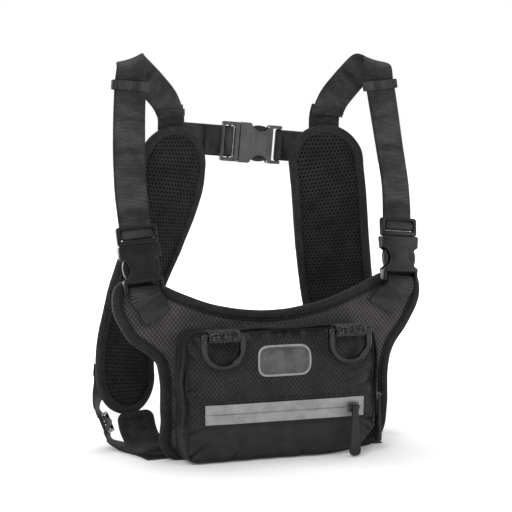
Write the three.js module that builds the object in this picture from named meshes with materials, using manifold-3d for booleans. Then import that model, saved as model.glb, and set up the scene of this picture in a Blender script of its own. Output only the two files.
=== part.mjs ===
// A chest-pack harness vest, worn over the shoulders: a padded chest panel with a zipped pouch, two
// shoulder straps of 35 mm webbing with side-release buckles, two padded back wings joined by a buckled
// back strap, and two side webbings that close the vest round the waist.
// Millimetres, +Z up. The wearer faces -Y, so the pouch is at -Y and +X is the wearer's left.
// The origin is at floor level, in the middle of the vest's bounding box.
import * as THREE from "three";
import { mergeVertices } from "three/addons/utils/BufferGeometryUtils.js";
import Module from "manifold-3d";

const wasm = await Module();
wasm.setup();

// ---- Driving dimensions -------------------------------------------------------------------------
const GAP = 0.4; // between two pieces that touch

const WEBBING = 35; // width of every load-bearing webbing
const WEB = 1.5; // its thickness

const PANEL_FRONT = -20; // y of the chest panel's front face
const SHELL = 2; // the panel's outer fabric, with its backing
const PAD = 7; // the panel's mesh padding
const BINDING = 8; // width of the bound edges

const POUCH_WIDTH = 226;
const POUCH_FRONT = -62;
const POUCH_BOTTOM = 3;
const POUCH_TOP = 148;
const POUCH_CORNER = 14;
const POUCH_WALL = 2.4;
const FRONT_POCKET = 11; // depth of the front pocket, in front of the divider

const ZIP_Z = 58;
const ZIP_LENGTH = 186;
const ZIP_WIDTH = 22;
const TAPE = 1.2;
const MAIN_ZIP_WIDTH = 24;
const PULL_LENGTH = 54; // from the slider's bail to the puller's tip

const RING_WIDTH = 50;
const RING_BAR = 5; // section of the D-ring's straight bar
const RING_BAND = 6; // width of its curved band
const RING_X = 74;
const RING_Z = 144; // height of its straight bar

const BUCKLE_WIDTH = 46;
const BUCKLE_DEPTH = 12;
const SOCKET_LENGTH = 40; // from the mouth to the webbing slot
const SOCKET_CAVITY = 7;
const LEGS = 11; // the webbing bar's distance past the socket
const FRAME_LENGTH = 21; // the plug's ladder frame
const FRONT_BUCKLE = { at: [154, -20, 241], splay: 6, lean: 4, back: 12 };
const BACK_BUCKLE = { at: [-7, 66, 347], tilt: 5 };

const WING_WIDTH = 86;
const WING_DEPTH = 9;

// ---- Materials ----------------------------------------------------------------------------------
function finish(color, roughness, metalness = 0) {
  return new THREE.MeshStandardMaterial({ color, roughness, metalness });
}

const RIPSTOP = finish(0x1c1a1c, 0.75);
const MESH = finish(0x121213, 0.95);
const TRIM = finish(0x161617, 0.85);
const WEB_BLACK = finish(0x1b1a1b, 0.7);
const PLASTIC = finish(0x29292b, 0.42);
const RUBBER = finish(0x242425, 0.6);
const REFLECTIVE = finish(0x9a9b9c, 0.45);
const METAL = finish(0x3a3a3c, 0.35, 0.8);

// ---- Building blocks ----------------------------------------------------------------------------
const vector = (p) => new THREE.Vector3(...p);

function solidOf(geometry) {
  const bare = geometry.clone();
  bare.deleteAttribute("normal");
  bare.deleteAttribute("uv");
  const merged = mergeVertices(bare, 1e-4);
  return new wasm.Manifold(
    new wasm.Mesh({
      numProp: 3,
      vertProperties: merged.attributes.position.array,
      triVerts: new Uint32Array(merged.index.array),
    }),
  );
}

function geometryOf(solid) {
  const mesh = solid.getMesh();
  const geometry = new THREE.BufferGeometry();
  geometry.setAttribute("position", new THREE.BufferAttribute(mesh.vertProperties, 3));
  geometry.setIndex(new THREE.BufferAttribute(mesh.triVerts, 1));
  geometry.computeVertexNormals();
  return geometry;
}

const joined = (...parts) => geometryOf(parts.map(solidOf).reduce((all, next) => all.add(next)));
const cut = (body, ...tools) =>
  geometryOf(tools.map(solidOf).reduce((left, tool) => left.subtract(tool), solidOf(body)));

function block([x, y, z], [width, depth, height]) {
  return new THREE.BoxGeometry(width, depth, height).translate(x, y, z);
}

// A rod along X.
function rod(radius, length, sides = 12) {
  return new THREE.CylinderGeometry(radius, radius, length, sides).rotateZ(Math.PI / 2);
}

// An outline drawn in x and z, made into a plate that reaches from y = back to y = back - depth.
function plate(outline, back, depth, bevel = 0) {
  const options = { depth: depth - 2 * bevel, bevelEnabled: bevel > 0, curveSegments: 4 };
  Object.assign(options, { bevelThickness: bevel, bevelSize: bevel, bevelOffset: -bevel });
  options.bevelSegments = 1;
  return new THREE.ExtrudeGeometry(outline, options).rotateX(Math.PI / 2).translate(0, back - bevel, 0);
}

function roundedRectangle(left, bottom, width, height, radius) {
  const shape = new THREE.Shape();
  const [right, top] = [left + width, bottom + height];
  shape.absarc(right - radius, bottom + radius, radius, -Math.PI / 2, 0);
  shape.absarc(right - radius, top - radius, radius, 0, Math.PI / 2);
  shape.absarc(left + radius, top - radius, radius, Math.PI / 2, Math.PI);
  shape.absarc(left + radius, bottom + radius, radius, Math.PI, 1.5 * Math.PI);
  return shape;
}

// A flat band laid along a curve. path is a list of [point, direction across the band]; the band's far
// side is the one that the tangent crossed with that direction points to. round shapes both ends as half
// circles, and bunches the steps towards them.
function band(path, width, thickness, { perSpan = 2, round = false, inset = 0 } = {}) {
  const centre = new THREE.CatmullRomCurve3(path.map(([at]) => vector(at)), false, "centripetal");
  const across = new THREE.CatmullRomCurve3(path.map(([, side]) => vector(side).normalize()));
  const steps = (path.length - 1) * perSpan;
  const length = centre.getLength();
  const geometry = new THREE.BoxGeometry(1, 1, 1, 1, 1, steps);
  const position = geometry.attributes.position;
  const corner = new THREE.Vector3();
  for (let i = 0; i < position.count; i++) {
    corner.fromBufferAttribute(position, i);
    let t = corner.z + 0.5;
    let half = width / 2;
    if (round) {
      const along = inset + ((length - 2 * inset) * (1 - Math.cos(Math.PI * t))) / 2;
      const fromEnd = Math.min(along - inset, length - inset - along);
      const short = Math.max(0, half - fromEnd);
      half = Math.max(0.28 * half, Math.sqrt(half * half - short * short));
      t = centre.getUtoTmapping(along / length);
    }
    const tangent = centre.getTangent(t);
    const side = across.getPoint(t).projectOnPlane(tangent).normalize();
    const normal = tangent.clone().cross(side);
    const at = centre.getPoint(t);
    at.addScaledVector(side, 2 * half * corner.x).addScaledVector(normal, thickness * corner.y);
    position.setXYZ(i, at.x, at.y, at.z);
  }
  geometry.computeVertexNormals();
  return geometry;
}

function mesh(name, geometry, material) {
  const made = new THREE.Mesh(geometry, material);
  made.name = name;
  return made;
}

const degrees = THREE.MathUtils.degToRad;

// ---- Side-release buckle ------------------------------------------------------------------------
// Its own frame: x across, -y the front, +z the way the plug pulls out, z = 0 at the socket's mouth.

// The socket: a flat box with a window in each side for the plug's arms, and a webbing bar below.
function socket() {
  const half = BUCKLE_WIDTH / 2;
  const waist = new THREE.Shape();
  waist.moveTo(-half, 0);
  waist.lineTo(-half + 0.8, -13);
  waist.absarc(-half - 3, -25, 12.2, degrees(68), degrees(-68), true);
  waist.lineTo(-half + 1, -SOCKET_LENGTH);
  waist.lineTo(-half + 1.5, -SOCKET_LENGTH - LEGS);
  waist.lineTo(half - 1.5, -SOCKET_LENGTH - LEGS);
  waist.lineTo(half - 1, -SOCKET_LENGTH);
  waist.absarc(half + 3, -25, 12.2, degrees(180 + 68), degrees(180 - 68), true);
  waist.lineTo(half - 0.8, -13);
  waist.lineTo(half, 0);
  const cavity = block([0, 0, -18], [41.6, SOCKET_CAVITY, 38]);
  const slot = block([0, 0, -SOCKET_LENGTH - 3.7], [WEBBING + 1.5, 20, 7.4]);
  const barZ = -SOCKET_LENGTH - 9;
  const thinned = [-1, 1].map((side) => block([0, side * 5.6, barZ], [WEBBING + 1.5, 8, 6]));
  return cut(plate(waist, BUCKLE_DEPTH / 2, BUCKLE_DEPTH, 1), cavity, slot, ...thinned);
}

// The plug without its arms: a ladder frame for the webbing, a shoulder and a guide tongue.
function plug() {
  const frame = roundedRectangle(-22.5, GAP, 45, FRAME_LENGTH - GAP, 3);
  const window = block([0, 0, 11.8], [WEBBING + 1.6, 20, 12.2]);
  const notch = block([0, 4.8, 19], [WEBBING + 1.6, 10, 4.6]);
  const bar = block([0, -0.4, 11.4], [WEBBING + 6, 3.2, 2.8]);
  const shoulder = roundedRectangle(-20.5, GAP, 41, 5, 1.5);
  return joined(
    cut(plate(frame, 3.5, 7, 0.8), window, notch),
    bar,
    plate(shoulder, BUCKLE_DEPTH / 2 - 0.6, BUCKLE_DEPTH - 1.2, 0.6),
    block([0, 0, -12], [6, 5.6, 28]),
  );
}

// One sprung arm, on the +x side: a thin leg that ends in the thumb pad which fills the socket's window.
function arm() {
  const leg = new THREE.Shape();
  leg.moveTo(11.5, -GAP);
  leg.lineTo(15.5, -GAP);
  leg.lineTo(16, -12);
  leg.bezierCurveTo(17.5, -14, 20.3, -17, 20.4, -24);
  leg.bezierCurveTo(20.3, -31, 18.5, -35, 15.5, -35.5);
  leg.lineTo(13.5, -35.5);
  leg.bezierCurveTo(14.5, -28, 14, -20, 12.5, -12);
  return plate(leg, (SOCKET_CAVITY - 2 * GAP) / 2, SOCKET_CAVITY - 2 * GAP, 0.4);
}

// Both halves; its two arms are named for the sides that they're on, the +x side first.
function buckle(prefix, armSide, otherSide) {
  const group = new THREE.Group();
  const other = mesh(`${prefix}_plug_${otherSide}_arm`, arm(), PLASTIC);
  other.rotation.z = Math.PI;
  group.add(mesh(prefix + "_socket", socket(), PLASTIC), mesh(prefix + "_plug", plug(), PLASTIC));
  group.add(mesh(`${prefix}_plug_${armSide}_arm`, arm(), PLASTIC), other);
  return group;
}

// The webbing's way through the ladder frame, from the tail to the strap, as [y, z] in that frame.
const LADDER = [
  [1.4, 34], [1.3, 22], [0.7, 17.2], [-2.6, 14], [-3.3, 11.2], [-2.6, 8.3],
  [0, 7.2], [2.8, 8.2], [3.8, 12], [3.8, 22], [3.8, 34],
];

// The webbing's way round the socket's bar, as [y, z].
const BAR_LOOP = [
  [3.4, -57], [3.4, -52], [3.4, -48.6], [2.4, -46.2], [0, -45.2],
  [-2.4, -46.2], [-3.4, -48.6], [-3.4, -52], [-3.4, -57],
];

// Points given in a placed buckle's frame, with the band's direction across, in the vest's frame.
function throughBuckle(placed, points) {
  placed.updateMatrixWorld(true);
  const side = new THREE.Vector3(1, 0, 0).transformDirection(placed.matrixWorld);
  return points.map(([y, z]) => {
    const at = new THREE.Vector3(0, y, z).applyMatrix4(placed.matrixWorld);
    return [at.toArray(), side.toArray()];
  });
}

// ---- Chest panel --------------------------------------------------------------------------------
// Half of the panel's outline, as [x, z], from the middle of the neckline to the middle of the hem.
const PANEL_HALF = [
  [0, 163], [62, 171], [104, 186], [136, 200], [160, 204], [178, 196], [181, 172], [167, 142],
  [149, 116], [143, 92], [142, 50], [137, 20], [124, 6], [62, 5], [0, 5],
];

function panelOutline(inset) {
  const right = PANEL_HALF.map(([x, z]) => new THREE.Vector3(x, 0, z));
  const left = PANEL_HALF.slice(1, -1).map(([x, z]) => new THREE.Vector3(-x, 0, z));
  const edge = new THREE.CatmullRomCurve3([...right, ...left.reverse()], true, "centripetal");
  const points = [];
  const count = 64;
  for (let i = 0; i < count; i++) {
    const at = edge.getPoint(i / count);
    const along = edge.getTangent(i / count);
    points.push(new THREE.Vector2(at.x - inset * -along.z, at.z - inset * along.x));
  }
  return new THREE.Shape(points);
}

function chestPanel() {
  const group = new THREE.Group();
  const back = PANEL_FRONT + SHELL + GAP + PAD;
  const hole = plate(panelOutline(BINDING), back + 5, 30);
  group.add(
    mesh("panel_binding", cut(plate(panelOutline(0), back, PAD + GAP + SHELL), hole), TRIM),
    mesh("panel_shell", plate(panelOutline(BINDING + GAP), PANEL_FRONT + SHELL, SHELL), RIPSTOP),
    mesh("panel_pad", plate(panelOutline(BINDING + GAP), back, PAD), MESH),
  );
  return group;
}

// ---- Pouch --------------------------------------------------------------------------------------
function pouch() {
  const group = new THREE.Group();
  const height = POUCH_TOP - POUCH_BOTTOM;
  const back = PANEL_FRONT - GAP;
  const depth = back - POUCH_FRONT;
  const box = (inset) => {
    const [left, bottom] = [-POUCH_WIDTH / 2 + inset, POUCH_BOTTOM + inset];
    const [wide, high] = [POUCH_WIDTH - 2 * inset, height - 2 * inset];
    return roundedRectangle(left, bottom, wide, high, POUCH_CORNER - inset);
  };
  const outside = plate(box(0), back, depth);
  const inside = plate(box(POUCH_WALL), back + 1, depth + 1 - POUCH_WALL);
  const frontSlit = block([0, POUCH_FRONT, ZIP_Z], [ZIP_LENGTH - 6, 12, 8]);
  const gusset = (back + POUCH_FRONT) / 2;
  const topSlit = block([0, gusset, POUCH_TOP], [POUCH_WIDTH - 2.5 * POUCH_CORNER, 6, 12]);
  const sideSlits = [-1, 1].map((side) => block([(side * POUCH_WIDTH) / 2, gusset, 88], [12, 6, 84]));
  const divider = plate(box(POUCH_WALL + 1), POUCH_FRONT + POUCH_WALL + FRONT_POCKET + 1.2, 1.2);
  const tape = block([1, POUCH_FRONT - GAP - TAPE / 2, ZIP_Z], [ZIP_LENGTH, TAPE, ZIP_WIDTH]);
  const coil = block([1, POUCH_FRONT + 1.2, ZIP_Z], [ZIP_LENGTH - 12, 2, 5]);
  const badge = roundedRectangle(-31, 98, 60, 31, 9);
  group.add(
    mesh("pouch_shell", cut(outside, inside, frontSlit, topSlit, ...sideSlits), RIPSTOP),
    mesh("pocket_divider", divider, TRIM),
    mesh("front_zip_tape", tape, REFLECTIVE),
    mesh("front_zip_coil", coil, TRIM),
    mesh("badge", plate(badge, POUCH_FRONT - GAP, 1.2), REFLECTIVE),
    mesh("main_zip_tape", mainZipTape(), TRIM),
  );
  return group;
}

// The main zip runs up one side of the pouch, over the top and down the other side.
function mainZipTape() {
  const y = (PANEL_FRONT + POUCH_FRONT) / 2;
  const [side, top] = [POUCH_WIDTH / 2 + GAP + TAPE / 2, POUCH_TOP + GAP + TAPE / 2];
  const bend = POUCH_CORNER + GAP + TAPE / 2;
  const across = [0, 1, 0];
  const corner = (sign) =>
    [0, 22.5, 45, 67.5, 90].map((a) => {
      const [c, s] = [Math.cos(degrees(a)), Math.sin(degrees(a))];
      return [[sign * (side - bend + bend * c), y, top - bend + bend * s], across];
    });
  const right = [[[side, y, 44], across], [[side, y, 90], across], ...corner(1)];
  const left = [[[-side, y, 44], across], [[-side, y, 90], across], ...corner(-1)];
  return band([...right, ...left.reverse()], MAIN_ZIP_WIDTH, TAPE, { perSpan: 1 });
}

// A zip slider with a bail, and the moulded puller that hangs on the bail. -y is the front; the bail's
// bar is along x, at the group's origin.
const SLIDER_DEPTH = 2.6;
const BAIL_REACH = 3.2; // from the slider's front face to the bar
function sliderAndPuller(prefix) {
  const group = new THREE.Group();
  const body = roundedRectangle(-7, -5.5, 14, 11, 3.5);
  const post = [1.8, BAIL_REACH + 1.8, 2.4];
  const posts = [-1, 1].map((side) => block([side * 4.6, BAIL_REACH / 2, 0], post));
  const base = plate(body, BAIL_REACH + SLIDER_DEPTH, SLIDER_DEPTH, 0.6);
  const slider = joined(base, ...posts, rod(0.9, 11));
  const tab = new THREE.Shape();
  tab.moveTo(-3.4, -1.6);
  tab.lineTo(-6.8, -PULL_LENGTH + 7);
  tab.bezierCurveTo(-7, -PULL_LENGTH + 2, -4.5, -PULL_LENGTH, 0, -PULL_LENGTH);
  tab.bezierCurveTo(4.5, -PULL_LENGTH, 7, -PULL_LENGTH + 2, 6.8, -PULL_LENGTH + 7);
  tab.lineTo(3.4, -1.6);
  const puller = cut(joined(plate(tab, 1.4, 2.8, 0.5), rod(2.8, 6.6)), rod(1.4, 9));
  group.add(mesh(prefix + "_slider", slider, METAL), mesh(prefix + "_puller", puller, RUBBER));
  return group;
}

// A D-ring hanging from its straight bar, which is along x at the group's origin, and its webbing tab.
function ring(suffix) {
  const group = new THREE.Group();
  const half = RING_WIDTH / 2;
  const drop = 12; // length of the straight sides
  const outer = new THREE.Shape();
  outer.moveTo(-half, RING_BAR / 2);
  outer.lineTo(-half, -drop);
  outer.absarc(0, -drop, half, Math.PI, 2 * Math.PI);
  outer.lineTo(half, RING_BAR / 2);
  const hole = new THREE.Path();
  const inner = half - RING_BAND;
  hole.moveTo(-inner, -RING_BAR / 2);
  hole.lineTo(inner, -RING_BAR / 2);
  hole.lineTo(inner, -drop);
  hole.absarc(0, -drop, inner, 0, -Math.PI, true);
  outer.holes.push(hole);
  const loop = joined(rod(5.6, WEBBING - 1, 20), block([0, 3.6, 6], [WEBBING - 1, 4, 12]));
  group.add(
    mesh("d_ring_" + suffix, plate(outer, RING_BAR / 2, RING_BAR, 1), PLASTIC),
    mesh("d_ring_tab_" + suffix, cut(loop, rod(4, WEBBING + 4, 20)), WEB_BLACK),
  );
  return group;
}

// ---- One side of the vest, drawn for the wearer's left (+x) -------------------------------------
const WING_TOP = [0.97, -0.23, 0];
const WING_ACROSS = [0.89, -0.45, 0];
const WING_PATH = [
  [[91, 44, 366], WING_TOP], [[92, 46, 336], WING_TOP], [[98, 49, 288], WING_TOP],
  [[110, 67, 230], [0.93, -0.37, 0]], [[124, 86, 176], WING_ACROSS], [[135, 88, 118], WING_ACROSS],
  [[138, 80, 76], WING_ACROSS], [[137, 74, 41], WING_ACROSS],
];

// The shoulder strap from above the buckle to the hem on the yoke tab.
const SHOULDER_FRONT = [
  [[157, -3, 300], [0.99, 0.13, 0]], [[155, 8, 340], [0.99, 0.12, 0]],
  [[152, 16.5, 380], [0.99, 0.05, -0.03]], [[149, 22, 411], [0.99, 0.04, 0.094]],
];
const SHOULDER_BACK = [
  [[117, 45, 413], [0.76, -0.16, -0.63]], [[102, 45, 395.5], [0.84, -0.2, -0.46]],
  [[95.5, 45.5, 382], [0.93, -0.24, -0.2]], [[93.5, 46, 373], [0.97, -0.23, -0.03]],
];
const FOLD = { start: [147, 23.5, 429.5], up: [-0.1, 0.1, 0.99], down: [-0.67, 0, -0.74], radius: 10 };
const TAIL_OFFSET = 2.4; // between the strap's two layers below the keeper

// The adjustable part: from its tail in the keeper, down round the plug's bar, and up to the keeper.
function lowerStrap(placedBuckle) {
  const tail = SHOULDER_FRONT.map(([[x, y, z], side]) => [[x, y - TAIL_OFFSET, z], side]);
  const ladder = throughBuckle(placedBuckle, LADDER);
  return band([...tail.reverse(), ...ladder, ...SHOULDER_FRONT], WEBBING, WEB);
}

// The webbing's half turn over the shoulder: it winds round a slanted roll, so it turns over flat.
function fold({ start, up, down, radius }) {
  const rising = vector(up).normalize();
  const axis = rising.clone().add(vector(down).normalize()).normalize();
  const slant = rising.dot(axis);
  const upright = rising.clone().addScaledVector(axis, -slant).normalize();
  const front = upright.clone().cross(axis);
  const straight = Math.sqrt(1 - slant * slant);
  return [0, 30, 60, 90, 120, 150, 180].map((turn) => {
    const angle = degrees(turn);
    const out = front.clone().multiplyScalar(Math.cos(angle)).addScaledVector(upright, Math.sin(angle));
    const at = vector(start).addScaledVector(front, -radius).addScaledVector(out, radius);
    at.addScaledVector(axis, (slant / straight) * radius * angle);
    const along = upright.clone().multiplyScalar(Math.cos(angle)).addScaledVector(front, -Math.sin(angle));
    const tangent = along.multiplyScalar(straight).addScaledVector(axis, slant);
    return [at.toArray(), tangent.cross(out).toArray()];
  });
}

// The fixed part: from the keeper over the shoulder to the yoke tab.
function upperStrap() {
  const [[x, y, z], side] = SHOULDER_FRONT.at(-1);
  const path = [[[x - 0.1, y + 0.1, z + 1.2], side], ...fold(FOLD), ...SHOULDER_BACK];
  return band(path, WEBBING, WEB, { perSpan: 4 });
}

// Turns a piece so that its x runs across the webbing and its z along it.
function placeOn(piece, at, across, along) {
  const x = vector(across).normalize();
  const z = vector(along).projectOnPlane(x).normalize();
  piece.quaternion.setFromRotationMatrix(new THREE.Matrix4().makeBasis(x, z.clone().cross(x), z));
  piece.position.set(...at);
  piece.updateMatrixWorld(true);
  return piece;
}

function keeper() {
  const outside = block([0, -1, 0], [WEBBING + 7.8, 10.4, 10]);
  const sleeve = cut(outside, block([0, -1, 0], [WEBBING + 4.2, 7.8, 20]));
  const [[below], [at, across]] = SHOULDER_FRONT.slice(-2);
  const along = vector(FOLD.start).sub(vector(below)).toArray();
  return placeOn(mesh("strap_keeper", sleeve, WEB_BLACK), at, across, along);
}

const TONGUE_PATH = [
  [[120, -6.5, 15], [1, 0, 0]], [[123, 8, 11.5], [1, 0, 0]], [[128, 30, 12], [1, 0, 0]],
  [[132, 50, 24], [1, 0, 0]], [[134, 60, 46], [1, 0, 0]],
];

// A three-bar slide on the side webbing.
function adjuster() {
  const outline = roundedRectangle(-22, -12, 44, 24, 3.5);
  const slots = [-1, 1].map((side) => block([0, 0, side * 5.1], [WEBBING + 2, 20, 7]));
  const made = mesh("side_adjuster", cut(plate(outline, 2, 4, 0.7), ...slots), PLASTIC);
  return placeOn(made, [162.3, 76.6, 32], [0.45, -0.88, 0.1], [0.36, 0.15, 0.92]);
}

// The side webbing's way through the slide's slots, as [y, z].
const THROUGH_ADJUSTER = [
  [3.3, -20], [3.3, -12], [3.1, -8.6], [0, -5.1], [-3.1, -1.6], [-3.3, 0],
  [-3.1, 1.6], [0, 5.1], [3.1, 8.6], [3.3, 12], [3.3, 20],
];

function sideWebbing(slide) {
  const flat = [1, 0, 0];
  const path = [
    [[124, -7, 3.8], flat], [[126, 16, 3.8], flat], [[132, 40, 3.9], flat],
    [[143, 60, 6], [0.8, -0.5, 0]],
    ...throughBuckle(slide, THROUGH_ADJUSTER),
    [[168, 83, 66], [0.7, -0.7, 0]], [[162, 83, 82], WING_ACROSS], [[160.5, 84.5, 98], WING_ACROSS],
  ];
  return band(path, WEBBING, WEB, { perSpan: 3 });
}

function buildSide(suffix) {
  const side = new THREE.Group();
  const front = buckle("front", "outer", "inner");
  const { at, splay, lean, back } = FRONT_BUCKLE;
  front.position.set(...at);
  front.rotation.set(degrees(-back), degrees(lean), degrees(splay));
  const tab = [
    ...throughBuckle(front, BAR_LOOP),
    [[142, -31.5, 177], [0.92, 0, -0.38]],
    [[130, -22, 161], [0.82, 0, -0.57]],
    [[122, -21.4, 149], [0.82, 0, -0.57]],
  ];
  const wing = (inset, depth) =>
    band(WING_PATH, WING_WIDTH - 2 * inset, depth, { perSpan: 3, round: true, inset });
  const yoke = [
    [[97, 49, 400], [0.88, -0.2, -0.38]], [[92, 50.5, 380], [0.93, -0.28, -0.15]],
    [[92.3, 51, 360], WING_TOP], [[93.3, 52.2, 336], WING_TOP],
  ];
  const [sleeve, slide] = [keeper(), adjuster()];
  side.add(
    front,
    sleeve,
    slide,
    mesh("buckle_tab", band(tab, WEBBING - 1.5, WEB), WEB_BLACK),
    mesh("shoulder_strap_lower", lowerStrap(front), WEB_BLACK),
    mesh("shoulder_strap_upper", upperStrap(), WEB_BLACK),
    mesh("yoke_tab", band(yoke, 30, WEB), WEB_BLACK),
    mesh("wing_pad", wing(BINDING + GAP, WING_DEPTH), MESH),
    mesh("wing_binding", cut(wing(0, WING_DEPTH), wing(BINDING, 3 * WING_DEPTH)), TRIM),
    mesh("side_webbing", sideWebbing(slide), WEB_BLACK),
    mesh("side_tongue", band(TONGUE_PATH, 42, 6.5, { perSpan: 3 }), MESH),
  );
  side.traverse((piece) => {
    if (piece.isMesh) piece.name += "_" + suffix;
  });
  return side;
}

// ---- Back strap ---------------------------------------------------------------------------------
// Where each half lies behind its wing and yoke tab, as [distance from the middle, y].
const STRAP_END = [[73, 60.2], [88, 57.4], [101, 54.6]];

function backStrap() {
  const group = new THREE.Group();
  const placed = buckle("back", "upper", "lower");
  const [x0, y0, z0] = BACK_BUCKLE.at;
  placed.position.set(x0, y0, z0);
  placed.rotation.set(0, degrees(BACK_BUCKLE.tilt - 90), 0);
  const tilt = degrees(BACK_BUCKLE.tilt);
  const across = [Math.sin(tilt), 0, Math.cos(tilt)];
  const at = (x, y) => [[x, y, z0 - (x - x0) * Math.tan(tilt)], across];
  const ladder = throughBuckle(placed, LADDER.slice(1));
  const end = (sign) => STRAP_END.map(([x, y]) => at(sign * x, y));
  const plugSide = [at(-46, 67.4), ...ladder, at(-53, 68.8), at(-62, 64.6), ...end(-1)];
  const loop = throughBuckle(placed, BAR_LOOP.slice(0, -1).reverse());
  const socketSide = [...loop, at(54, 68.6), at(62, 64.8), ...end(1)];
  group.add(
    placed,
    mesh("back_strap_right", band(plugSide, WEBBING, WEB), WEB_BLACK),
    mesh("back_strap_left", band(socketSide, WEBBING, WEB), WEB_BLACK),
  );
  return group;
}

// ---- Assembly -----------------------------------------------------------------------------------
const vest = new THREE.Group();
const left = buildSide("left");
const right = buildSide("right");
right.scale.x = -1;
vest.add(chestPanel(), pouch(), left, right, backStrap());

for (const [suffix, x] of [["left", RING_X], ["right", -RING_X]]) {
  const made = ring(suffix);
  made.position.set(x, POUCH_FRONT - GAP - 5.6, RING_Z);
  vest.add(made);
}

const frontPull = sliderAndPuller("front_zip");
frontPull.position.set(80, POUCH_FRONT - 2 * GAP - TAPE - SLIDER_DEPTH - BAIL_REACH, ZIP_Z);
const mainPull = sliderAndPuller("main_zip");
mainPull.rotation.z = Math.PI / 2;
const pullX = POUCH_WIDTH / 2 + 2 * GAP + TAPE + SLIDER_DEPTH + BAIL_REACH;
mainPull.position.set(pullX, (PANEL_FRONT + POUCH_FRONT) / 2, 66);
vest.add(frontPull, mainPull);

// The origin: floor level, in the middle of the bounding box.
const bounds = new THREE.Box3().setFromObject(vest);
const middle = bounds.getCenter(new THREE.Vector3());
vest.position.set(0, -middle.y, -bounds.min.z);
export default vest;
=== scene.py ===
# A chest-pack harness vest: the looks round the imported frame. Lengths are in millimetres in the vest's own
# frame until a mesh is made, when they become metres in the row's frame.
import math

import bmesh
import bpy
import numpy as np
from mathutils import Matrix, Vector, noise
from mathutils.bvhtree import BVHTree


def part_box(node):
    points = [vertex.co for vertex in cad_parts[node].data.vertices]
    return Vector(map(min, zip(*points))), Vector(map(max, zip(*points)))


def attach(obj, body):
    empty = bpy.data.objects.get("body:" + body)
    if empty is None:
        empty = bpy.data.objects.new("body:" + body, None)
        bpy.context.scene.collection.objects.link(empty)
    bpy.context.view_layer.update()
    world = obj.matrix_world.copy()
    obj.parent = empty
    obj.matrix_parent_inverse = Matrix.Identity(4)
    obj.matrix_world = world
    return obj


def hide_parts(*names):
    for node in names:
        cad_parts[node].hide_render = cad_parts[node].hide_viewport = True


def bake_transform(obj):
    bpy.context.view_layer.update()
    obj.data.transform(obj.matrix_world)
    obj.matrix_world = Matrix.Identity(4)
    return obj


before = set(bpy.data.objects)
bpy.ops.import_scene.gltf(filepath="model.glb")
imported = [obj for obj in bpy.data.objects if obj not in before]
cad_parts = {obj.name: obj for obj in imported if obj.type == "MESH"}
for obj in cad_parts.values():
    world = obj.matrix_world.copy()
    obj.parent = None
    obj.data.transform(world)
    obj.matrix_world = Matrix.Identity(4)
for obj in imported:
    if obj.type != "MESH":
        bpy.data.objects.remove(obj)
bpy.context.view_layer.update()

MM = 0.001

# ---- Driving dimensions, from the CAD except where the drawn piece departs from it ---------------
POUCH = dict(half=113, bottom=3, top=148, front=-62, back=-20.4)
ZIP_Z = 58
WEBBING, WEB = 35, 1.5
BINDING = 8
PANEL_FRONT, PANEL_BACK = -20, -10.6
SHIFT = np.array(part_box("pouch_shell")[0]) - MM * np.array([-POUCH["half"], POUCH["front"], POUCH["bottom"]])

PANEL_HALF = [
    (0, 163), (62, 171), (104, 186), (136, 200), (160, 204), (178, 196), (181, 172), (167, 142),
    (149, 116), (143, 92), (142, 50), (137, 20), (124, 6), (62, 5), (0, 5),
]
TUCKED = 15  # how far the panel's lower edge at -x is drawn in behind the pouch
FRONT_BUCKLE = dict(at=(154, -20, 241), turn=(-12, 4, 6))
BACK_TILT = 5
BACK_BUCKLE = dict(at=(-7, 66, 347), turn=(0, BACK_TILT - 90, 0))
LADDER = [
    (1.4, 34), (1.3, 22), (0.7, 17.2), (-2.6, 14), (-3.3, 11.2), (-2.6, 8.3),
    (0, 7.2), (2.8, 8.2), (3.8, 12), (3.8, 22), (3.8, 34),
]
BAR_LOOP = [
    (3.4, -57), (3.4, -52), (3.4, -48.6), (2.4, -46.2), (0, -45.2),
    (-2.4, -46.2), (-3.4, -48.6), (-3.4, -52), (-3.4, -57),
]
WING_TOP, WING_ACROSS = (0.97, -0.23, 0), (0.89, -0.45, 0)
WING_WIDTH, WING_DEPTH = 86, 9
TONGUE_WIDTH, TONGUE_CORNER = 42, 9
WING_PATH = [
    ((91, 44, 366), WING_TOP), ((92, 46, 336), WING_TOP), ((98, 49, 288), WING_TOP),
    ((110, 67, 230), (0.93, -0.37, 0)), ((124, 86, 176), WING_ACROSS), ((135, 88, 118), WING_ACROSS),
    ((138, 80, 76), WING_ACROSS), ((137, 74, 41), WING_ACROSS),
]
SHOULDER_FRONT = [
    ((157, -3, 300), (0.99, 0.13, 0)), ((155, 8, 340), (0.99, 0.12, 0)),
    ((152, 16.5, 380), (0.99, 0.05, -0.03)), ((149, 22, 411), (0.99, 0.04, 0.094)),
]
SHOULDER_BACK = [
    ((117, 45, 413), (0.76, -0.16, -0.63)), ((102, 45, 395.5), (0.84, -0.2, -0.46)),
    ((95.5, 45.5, 382), (0.93, -0.24, -0.2)), ((93.5, 46, 373), (0.97, -0.23, -0.03)),
]
FOLD = dict(start=(147, 23.5, 429.5), up=(-0.1, 0.1, 0.99), down=(-0.67, 0, -0.74), radius=10)
TAIL_OFFSET = 2.4
STRAP_END = [(73, 60.2), (88, 57.4), (101, 54.6)]
TONGUE_PATH = [
    ((120, -6.5, 15), (1, 0, 0)), ((123, 8, 11.5), (1, 0, 0)), ((128, 30, 12), (1, 0, 0)),
    ((132, 50, 24), (1, 0, 0)), ((134, 60, 46), (1, 0, 0)),
]
HEM = ((94.4, 45.6, 378), (0.96, -0.23, -0.09))
YOKE_PATH = [
    ((94.6, 48.4, 386), (0.95, -0.24, -0.12)), ((92.6, 50.2, 376), (0.96, -0.25, -0.05)),
    ((92.3, 51, 360), WING_TOP), ((93.3, 52.2, 336), WING_TOP),
]
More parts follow.
